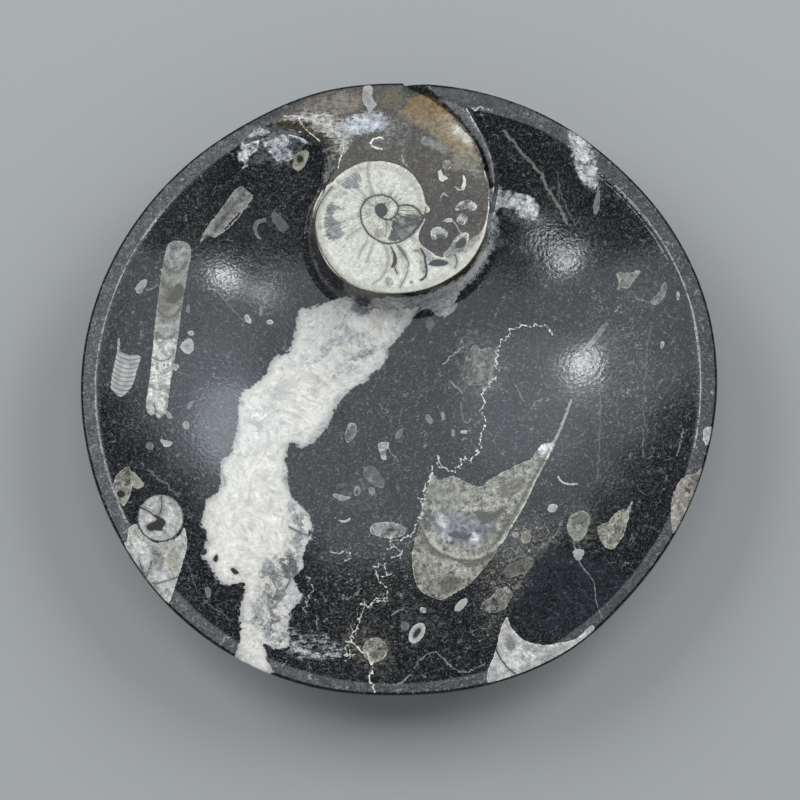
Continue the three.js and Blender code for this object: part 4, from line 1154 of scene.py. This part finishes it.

# painted highlight: a pale line along the lip where its rounded edge catches the light, on the left and, in
# two lines, on the right
lit_arcs = seen_towards(175, 0.77, 0.86) + seen_towards(14, 0.84, 0.90)
twice = seen_towards(38, 0.95, 0.985)
marks["lip_highlight"] = lip_highlight_line(0) * lit_arcs + lip_highlight_line(SECOND_LINE) * SECOND_SHARE * twice
marks["lip_highlight"][below] = 0
for name, values in marks.items():
    kind = "FLOAT" if values.ndim == 1 else "FLOAT_COLOR"
    layer = plate_mesh.attributes.new(name, kind, "POINT")
    if kind == "FLOAT":
        layer.data.foreach_set("value", values)
    else:
        if values.shape[1] == 3:
            values = np.column_stack([values, np.ones(count)])
        layer.data.foreach_set("color", values.reshape(-1))

# the map that the finish is baked on: the upper face in a large square, the side as a strip, and the foot in
# a corner
TOP_SHARE = 0.86
FOOT_SHARE = 0.12
FOOT_SPREAD = 2.1 * FOOT_RADIUS
MARGIN = 0.005
RIM_INSIDE = 98.4
EDGE_FALL = 0.03
TURNED_DOWN = -0.05
loop_corner = np.zeros(len(plate_mesh.loops), int)
plate_mesh.loops.foreach_get("vertex_index", loop_corner)
place = corners[loop_corner]
faces_count = len(plate_mesh.polygons)
face_sides = np.zeros(faces_count, int)
plate_mesh.polygons.foreach_get("loop_total", face_sides)
centre = np.zeros(faces_count * 3)
plate_mesh.polygons.foreach_get("center", centre)
centre = centre.reshape(-1, 3) / MM
facing = np.zeros(faces_count * 3)
plate_mesh.polygons.foreach_get("normal", facing)
facing = facing.reshape(-1, 3)
on_foot = centre[:, 2] < SLACK
at_edge = (np.hypot(*centre[:, :2].T) > RIM_INSIDE) & (centre[:, 2] < HEIGHT - EDGE_FALL)
on_side = ~on_foot & ((facing[:, 2] < TURNED_DOWN) | at_edge)
on_foot, on_side = (np.repeat(chosen, face_sides)[:, None] for chosen in (on_foot, on_side))
middle = np.repeat(np.arctan2(centre[:, 1], centre[:, 0]), face_sides)

spread = 2 * np.abs(corners[:, :2]).max()
top_map = MARGIN + TOP_SHARE * (place[:, :2] / spread + 0.5)
foot_corner = np.array((1 - MARGIN - FOOT_SHARE, MARGIN))
foot_map = foot_corner + FOOT_SHARE * (place[:, :2] / FOOT_SPREAD + 0.5)
turn = middle + np.angle(np.exp(1j * (np.arctan2(place[:, 1], place[:, 0]) - middle)))
rise = (place[:, 2] + np.hypot(*place[:, :2].T) - FOOT_RADIUS) / (HEIGHT + EDGE_RADIUS - FOOT_RADIUS)
side_base = TOP_SHARE + 4 * MARGIN
side_u = 0.5 + (1 - 4 * MARGIN) * turn / tau
side_v = side_base + (1 - side_base - 2 * MARGIN) * rise
side_map = np.stack([side_u, side_v], axis=1)
chart = np.where(on_foot, foot_map, np.where(on_side, side_map, top_map))
plate_mesh.uv_layers.new(name="OFBake").data.foreach_set("uv", chart.reshape(-1))

# The stone's finish. Black limestone, cut and polished so that its grain shows, with calcite and shell grown
# into it. The polish waves a little and is pitted finely. Sizes are in mm; shares and noises run 0 to 1.
PALE_GRAINS = (0.53, 0.55, 0.555, 1)
# the colour of the painted highlight along the lip
LIP_HIGHLIGHT = (0.42, 0.43, 0.44, 1)
WHITE_CALCITE = (0.84, 0.808, 0.745, 1)
CLEAR_CALCITE = (0.26, 0.265, 0.27, 1)
COIL_CORE = (-5.84 * MM, 55.98 * MM, HEIGHT * MM)
COIL_REACH = 21.6 * MM
COIL_INNER = 8.6 * MM
WAVE_HEIGHT = 0.0052 * MM
NOISE_SPREAD = 2.4

# sockets that have no name of their own, by number
ON_OBJECT = 3
COLOUR, NUMBER, ALPHA = 0, 2, 3
FIRST_COLOUR, SECOND_COLOUR, MIXED = 6, 7, 2
SCALE, LENGTH, NOISE_COLOUR = 3, 1, 1

stone = bpy.data.materials.new("polished fossil limestone")
stone.use_nodes = True
stone.node_tree.nodes.clear()


class Wire:
    """A value, colour or vector in the stone's shader. Sums on it add Math nodes."""

    def __init__(self, socket):
        self.socket = socket

    @staticmethod
    def node(kind, settings, inputs, output=0):
        made = stone.node_tree.nodes.new("ShaderNode" + kind)
        for name, value in settings.items():
            setattr(made, name, value)
        for name, value in inputs.items():
            if isinstance(value, Wire):
                stone.node_tree.links.new(value.socket, made.inputs[name])
            else:
                made.inputs[name].default_value = value
        return Wire(made.outputs[output])

    def math(self, operation, *others):
        return Wire.node("Math", {"operation": operation}, dict(enumerate((self, *others))))

    def __add__(self, other):
        return self.math("ADD", other)

    def __sub__(self, other):
        return self.math("SUBTRACT", other)

    def __rsub__(self, other):
        return Wire.node("Math", {"operation": "SUBTRACT"}, {0: other, 1: self})

    def __mul__(self, other):
        return self.math("MULTIPLY", other)

    __radd__ = __add__
    __rmul__ = __mul__

    def at_least(self, low):
        return self.math("MAXIMUM", low)

    def at_most(self, high):
        return self.math("MINIMUM", high)

    def step(self, low, high):
        """0 below low, 1 above high, smooth between them."""
        inputs = {"Value": self, "From Min": low, "From Max": high}
        return Wire.node("MapRange", {"interpolation_type": "SMOOTHSTEP"}, inputs)

    def mix(self, colour, other):
        """One colour where this is 0, the other where it is 1."""
        inputs = {0: self, FIRST_COLOUR: colour, SECOND_COLOUR: other}
        return Wire.node("Mix", {"data_type": "RGBA"}, inputs, MIXED)

    def scaled(self, share):
        """This colour, made lighter or darker by a share."""
        return Wire.node("VectorMath", {"operation": "SCALE"}, {0: self, SCALE: share})

    def drawn_out(self, *size):
        """These places scaled, so that noise on them has lumps of a size in mm along each axis."""
        scales = [1 / (length * MM) for length in size]
        return Wire.node("VectorMath", {"operation": "MULTIPLY"}, {0: self, 1: scales})


where = Wire.node("TexCoord", {}, {}, ON_OBJECT)


def painted_on(name, output=NUMBER):
    """What the corners of the mesh carry under a name."""
    return Wire.node("Attribute", {"attribute_name": name}, {}, output)


def swing(noise, amount):
    """Noise as a swing about zero, by half an amount each way."""
    return (noise - 0.5) * amount


def noise_on(place, scale, detail, roughness=0.5):
    """Soft noise, stretched about one half so that it fills most of 0 to 1."""
    inputs = {"Vector": place, "Scale": scale, "Detail": detail, "Roughness": roughness}
    return swing(Wire.node("TexNoise", {}, inputs), NOISE_SPREAD) + 0.5


def cloud(size, detail=2.0, roughness=0.5):
    """Soft noise with lumps of a size."""
    return noise_on(where, 1 / (size * MM), detail, roughness)


def cells(size, output="Distance", feature="F1", place=where):
    """A pattern of cells of a size."""
    return Wire.node("TexVoronoi", {"feature": feature}, {"Vector": place, "Scale": 1 / (size * MM)}, output)


def specks(size, radius, density):
    """Light grains: some cells of a size hold one, more of them where the density is high."""
    return (radius - cells(size)).step(0, 0.12) * (density - cells(size, "Color")).step(0, 0.15)


def blades(length, width, grain_size):
    """Crystal blades: noise drawn out along a direction of its own in each grain of a size."""
    turn = cells(grain_size, "Color") * tau
    turned = Wire.node("VectorRotate", {"rotation_type": "Z_AXIS"}, {"Vector": where, "Angle": turn})
    return noise_on(turned.drawn_out(width, length, width), 1, 2.0, 0.6)


def squiggles(size, width):
    """Thin curling lines, about a size apart."""
    return (width - (cloud(size, 1.0) - 0.5).math("ABSOLUTE")).step(0, 0.6 * width)


def shaken(size, amount):
    """Places pushed about by noise with lumps of a size, by up to an amount."""
    inputs = {"Vector": where, "Scale": 1 / (size * MM), "Detail": 1.0}
    noise = Wire.node("TexNoise", {}, inputs, NOISE_COLOUR)
    push = (NOISE_SPREAD * amount * MM,) * 3
    return Wire.node("VectorMath", {"operation": "MULTIPLY_ADD"}, {0: noise, 1: push, 2: where})


depth_calcite = painted_on("calcite")
depth_cover = painted_on("cover")
depth_ink = painted_on("ink")
tone = painted_on("tone", COLOUR)
grain = painted_on("tone", ALPHA)
sparkle = painted_on("ground", ALPHA)
satin = painted_on("satin")
dust = cloud(0.45, 3.0, 0.75)
mid_noise = cloud(1.4, 4.0, 0.65)
broad_noise = cloud(7, 3.0)
fine_blades = blades(2.2, 0.3, 2.1)
wide_blades = blades(5.5, 0.8, 4.6)
fans = blades(8.0, 1.5, 7.0)
FLAKE_SIZE, CHUNK_SIZE = 1.15, 2.7
stirred = shaken(1.1, 0.7)
flakes = cells(FLAKE_SIZE, "Color", place=stirred)
chunks = cells(CHUNK_SIZE, "Color", place=stirred)
seams = (0.09 - cells(FLAKE_SIZE, "Distance", "DISTANCE_TO_EDGE", stirred)).step(0, 0.09)

# the black and brown stone: a dark mud with fine pale grains and scraps of shell
stone_light = swing(dust, 2.6) + swing(mid_noise, 0.9) + swing(broad_noise, 0.6) + 1
base = painted_on("ground", COLOUR).scaled(stone_light.at_least(0.12) * (1 + 1.2 * satin))
worms = squiggles(0.95, 0.20) * (cloud(0.8) - 0.35).step(0, 0.25)
scraps = squiggles(2.6, 0.075) * (cloud(2.4) - 0.60).step(0, 0.12)
grains = specks(0.66, 0.42, 0.25 + 0.5 * sparkle)
crumbs = specks(1.9, 0.26, 0.6 * sparkle)
light_share = worms * 0.17 + scraps * 0.34 + grains * (0.09 + 0.26 * sparkle) + crumbs * 0.45
light_share = light_share * (0.25 + sparkle + 0.5 * satin) * (0.05 + 1.6 * mid_noise)
base = light_share.mix(base, PALE_GRAINS)

# patches of other colours in it, soft and mottled, and the painted highlight along the lip
bloom_share = painted_on("bloom", ALPHA)
streaks = noise_on(where.drawn_out(3.2, 0.8, 2), 1, 3.0, 0.65)
bloom_edge = swing(cloud(1.7, 3.0, 0.7), 0.7) + swing(streaks, 0.6) + swing(dust, 0.25)
bloom_mask = (bloom_share + bloom_edge).step(0.20, 0.80) * (2.5 * bloom_share).at_most(1.0)
bloom_light = (1 + swing(dust, 1.0) + swing(mid_noise, 1.1)).at_least(0.25)
base = bloom_mask.mix(base, painted_on("bloom", COLOUR).scaled(bloom_light))
# the painted highlight where the lip's rounded edge catches the light
lip_highlight_mask = (painted_on("lip_highlight") + swing(dust, 0.7) + swing(mid_noise, 0.7)).step(0.40, 0.85)
base = lip_highlight_mask.mix(base, LIP_HIGHLIGHT)

# white calcite: chunks of interlocking blades, clearer towards its edges and in grey streaks
ravel = swing(chunks, 1.3) + swing(wide_blades, 0.45) + swing(mid_noise, 0.5) + swing(fans, 0.7)
calcite_mask = (depth_calcite + ravel).step(-0.22, 0.28)
clearness = (1.3 - depth_calcite + 1.6 * ravel).step(-1.2, 1.8) * 0.7
clearness = clearness + (broad_noise - 0.62).step(0, 0.35) * 0.4
clearness = clearness * (0.25 + 1.3 * wide_blades).at_most(1.0) + (chunks - 0.62).step(0, 0.25) * 0.14
clearness = clearness + (fans - 0.56).step(0, 0.3) * (mid_noise - 0.3).step(0, 0.5) * 0.30
blade_light = swing(wide_blades, 0.30) + swing(fine_blades, 0.12) + swing(chunks, 0.34) + swing(fans, 0.40)
calcite_light = blade_light - seams * 0.10 * mid_noise + 1
finish = calcite_mask.mix(base, clearness.mix(WHITE_CALCITE, CLEAR_CALCITE).scaled(calcite_light))

# shell: a paler rim line, and more or less of a mosaic of spar; pure spar has a soft cloudy edge
spar = (grain - 1.1).step(0, 0.3)
cloudy_edge = (swing(mid_noise, 1.1) + swing(wide_blades, 0.7)) * spar
shell_edge = swing(cloud(0.9, 3.0), 0.22 + 0.2 * grain) + cloudy_edge
shell_mask = (depth_cover + shell_edge).step(-0.07 - 0.45 * spar, 0.07 + 0.45 * spar)
bands = (painted_on("stripe") * tau).math("SINE").step(0.55, 0.95)
rim_line = ((0.45 - depth_cover).step(0, 0.3) - (0.9 - depth_cover).step(0, 0.4) * 0.6) * (1 - spar)
mottle = swing(flakes, 1.1) + swing(chunks, 0.8) + swing(mid_noise, 1.0) + swing(fine_blades, 0.5)
mottle = mottle + swing(dust, 0.4) + 0.5 * rim_line - seams * 0.5
heart = (depth_cover - 0.5).step(0, 0.8) * 0.22 * (1 - (depth_cover - 2.2).step(0, 0.8))
shell_light = (1 + (0.10 + 1.05 * grain.at_most(0.85)) * mottle).at_least(0.14) * (1 + swing(dust, 0.20))
shell_light = shell_light * (1 - 0.6 * bands) * (1 - heart * (1 - spar))
finish = shell_mask.mix(finish, tone.scaled(shell_light))

# the coiled shell's radiating ribs and fine cracks
outward = Wire.node("VectorMath", {"operation": "SUBTRACT"}, {0: where, 1: COIL_CORE})
distance = Wire.node("VectorMath", {"operation": "LENGTH"}, {0: outward}, LENGTH)
heading = Wire.node("VectorMath", {"operation": "NORMALIZE"}, {0: outward})
coarse_ribs = noise_on(heading, 5.0, 4.0, 0.7)
fine_ribs = noise_on(heading, 22.0, 2.0)
inner = (COIL_INNER - distance).step(0, 2.5 * MM)
ribs = (coarse_ribs - 0.60).step(0, 0.2) * 0.20 + (fine_ribs - 0.50).step(0, 0.25) * (0.10 + 0.55 * inner)
cracks = squiggles(2.2, 0.05) * 0.34 * (broad_noise - 0.2).step(0, 0.4) + squiggles(0.9, 0.10) * 0.14
coil_mask = (COIL_REACH - distance).step(-MM, MM) * (1 - grain * 2).step(0.3, 0.5) * shell_mask

# soft shades and fine dark lines over shell and spar
any_light = calcite_mask.at_least(shell_mask)
shade_share = painted_on("shade", ALPHA)
shade_edge = swing(mid_noise, 0.5) + swing(flakes, 0.35) + swing(fine_blades, 0.35)
shade_edge = shade_edge + swing(fine_ribs, 0.6) * coil_mask
shade_edge = shade_edge + (swing(wide_blades, 0.4) + swing(chunks, 0.8) + swing(fans, 0.4)) * calcite_mask
shade_mask = (shade_share + shade_edge).step(0.25, 0.75) * (2.0 * shade_share).at_most(1.0) * any_light
shade_light = (1 + swing(flakes, 1.1) + swing(wide_blades, 0.8) + swing(dust, 0.7)).at_least(0.25)
finish = shade_mask.mix(finish, painted_on("shade", COLOUR).scaled(shade_light))
finish = finish.scaled(1 - coil_mask * (ribs + cracks))
halo = (depth_ink + 1.1).step(0, 1.3) * 0.34 * any_light
finish = finish.scaled(1 - halo)
ink_mask = (depth_ink + swing(cloud(0.6, 2.0), 0.16)).step(-0.12, 0.08)
finish = (ink_mask * any_light).mix(finish, painted_on("ink_tone", COLOUR).scaled(0.4 + 1.2 * dust))

# polished to a gloss that waves a little and is pitted finely; the rim is only rubbed
pits = (dust - 0.60).step(0, 0.25)
gloss = 0.07 + 0.02 * broad_noise + 0.05 * pits + 0.04 * any_light + 0.28 * satin
waves = cloud(1.1, 1.0) + cloud(0.5, 1.0) * 0.15
bump = Wire.node("Bump", {}, {"Strength": 1.0, "Distance": WAVE_HEIGHT, "Height": waves})
polish = {"Base Color": finish, "Roughness": gloss, "Normal": bump, "IOR": 1.55}
shader = Wire.node("BsdfPrincipled", {}, polish)
surface = stone.node_tree.nodes.new("ShaderNodeOutputMaterial")
stone.node_tree.links.new(shader.socket, surface.inputs["Surface"])
plate_mesh.materials.append(stone)

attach(plate, "root")
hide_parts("plate")

# The floor and the light: a plain grey table, one wide soft light above and behind, whose round-cornered
# shape shows in the bowl and so is built from strips, two soft lights at the sides that are kept out of the
# polish, and four small lamps that show in it. The room is bright low down and dark overhead.
FLOOR_REACH = 3
FLOOR_GREY = (0.445, 0.452, 0.452, 1)
DAYLIGHT = (0.96, 0.99, 1.0)
COOL = (0.91, 0.99, 1.06)
ROOM_COLOUR = (0.93, 0.98, 1.03, 1)

bpy.ops.object.select_all(action="DESELECT")
bpy.ops.mesh.primitive_plane_add(size=2 * FLOOR_REACH)
floor = bpy.context.object
floor.name = "floor"
card = bpy.data.materials.new("plain card")
card.use_nodes = True
card_finish = card.node_tree.nodes["Principled BSDF"].inputs
card_finish["Base Color"].default_value = FLOOR_GREY
card_finish["Roughness"].default_value = 0.8
card_finish["Specular IOR Level"].default_value = 0.1
floor.data.materials.append(card)


def lamp(name, place, size, radiance, shape="RECTANGLE", colour=DAYLIGHT, shines=True, facing=None):
    """A soft light at a place in metres, turned to the dish. It may be kept out of the polish."""
    data = bpy.data.lights.new(name, "AREA")
    data.shape = shape
    data.color = colour
    data.size, data.size_y = size
    area = size[0] * size[1] * (tau / 8 if shape == "ELLIPSE" else 1)
    data.energy = radiance * area * tau / 2
    light = bpy.data.objects.new(name, data)
    light.visible_glossy = shines
    light.location = place
    light.rotation_euler = Vector(facing or place).to_track_quat("Z", "Y").to_euler()
    bpy.context.scene.collection.objects.link(light)


# the wide light's middle, then its strips and its brighter places: how far across and along from there,
# size and radiance
WIDE_LIGHT = Vector((-0.02, 0.57, 1.98))
UPHILL = Vector((0, WIDE_LIGHT.z, -WIDE_LIGHT.y)).normalized()
STRIPS = [
    (0.475, -0.18, (0.61, 0.44), 1.32),
    (-0.085, -0.15, (0.51, 0.38), 1.32),
    (-0.57, -0.17, (0.46, 0.42), 1.32),
    (-0.02, 0.085, (1.44, 0.09), 1.32),
    (-0.01, 0.175, (1.26, 0.09), 1.32),
    (-0.015, 0.265, (1.09, 0.09), 1.32),
    (-0.01, 0.35, (0.92, 0.08), 1.32),
    (-0.06, 0.425, (0.52, 0.07), 1.32),
]
GLOWS = [
    (-0.32, 0.02, (0.38, 0.40), 0.75),
    (0.50, 0.00, (0.26, 0.38), 0.8),
    (0.45, 0.10, (0.18, 0.26), 3.0),
]
for shape, rows in (("RECTANGLE", STRIPS), ("ELLIPSE", GLOWS)):
    for across, along, size, radiance in rows:
        place = WIDE_LIGHT + Vector((across, 0, 0)) + along * UPHILL
        lamp("wide light", place, size, radiance, shape, COOL, facing=WIDE_LIGHT)
for name, side in (("left light", -1.35), ("right light", 1.35)):
    lamp(name, (side, 0.9, 1.05), (1.3, 0.9), 4.65, shines=False)

# the small lamps: where each one shows in the bowl, in mm, its azimuth and elevation from there, size and
# radiance
LAMP_RANGE = 1.5
SHEENS = [
    ((-56.0, 37.9, 14.8), 20.5, 74.6, (0.036, 0.036), 32),
    ((-43.7, 33.0, 12.3), 30.2, 76.9, (0.036, 0.036), 11),
    ((51.6, 44.8, 14.9), 165.1, 76.2, (0.046, 0.032), 24),
    ((59.5, 3.9, 13.2), 136, 68.9, (0.046, 0.046), 24),
]
for place, azimuth, elevation, size, radiance in SHEENS:
    a, e = radians(azimuth), radians(elevation)
    away = Vector((cos(e) * cos(a), cos(e) * sin(a), sin(e))) * LAMP_RANGE
    lamp("small lamp", Vector(place) * MM + away, size, radiance, "ELLIPSE")

world = bpy.data.worlds.new("room")
world.use_nodes = True
room = world.node_tree
room.nodes["Background"].inputs["Color"].default_value = ROOM_COLOUR
aim = room.nodes.new("ShaderNodeTexCoord")
split = room.nodes.new("ShaderNodeSeparateXYZ")
fade = room.nodes.new("ShaderNodeMapRange")
fade.interpolation_type = "SMOOTHSTEP"
for name, value in (("From Min", 0.35), ("From Max", 0.75), ("To Min", 0.82), ("To Max", 0.11)):
    fade.inputs[name].default_value = value
room.links.new(aim.outputs["Generated"], split.inputs["Vector"])
room.links.new(split.outputs["Z"], fade.inputs["Value"])
room.links.new(fade.outputs["Result"], room.nodes["Background"].inputs["Strength"])
bpy.context.scene.world = world
bpy.context.scene.view_settings.view_transform = "Standard"
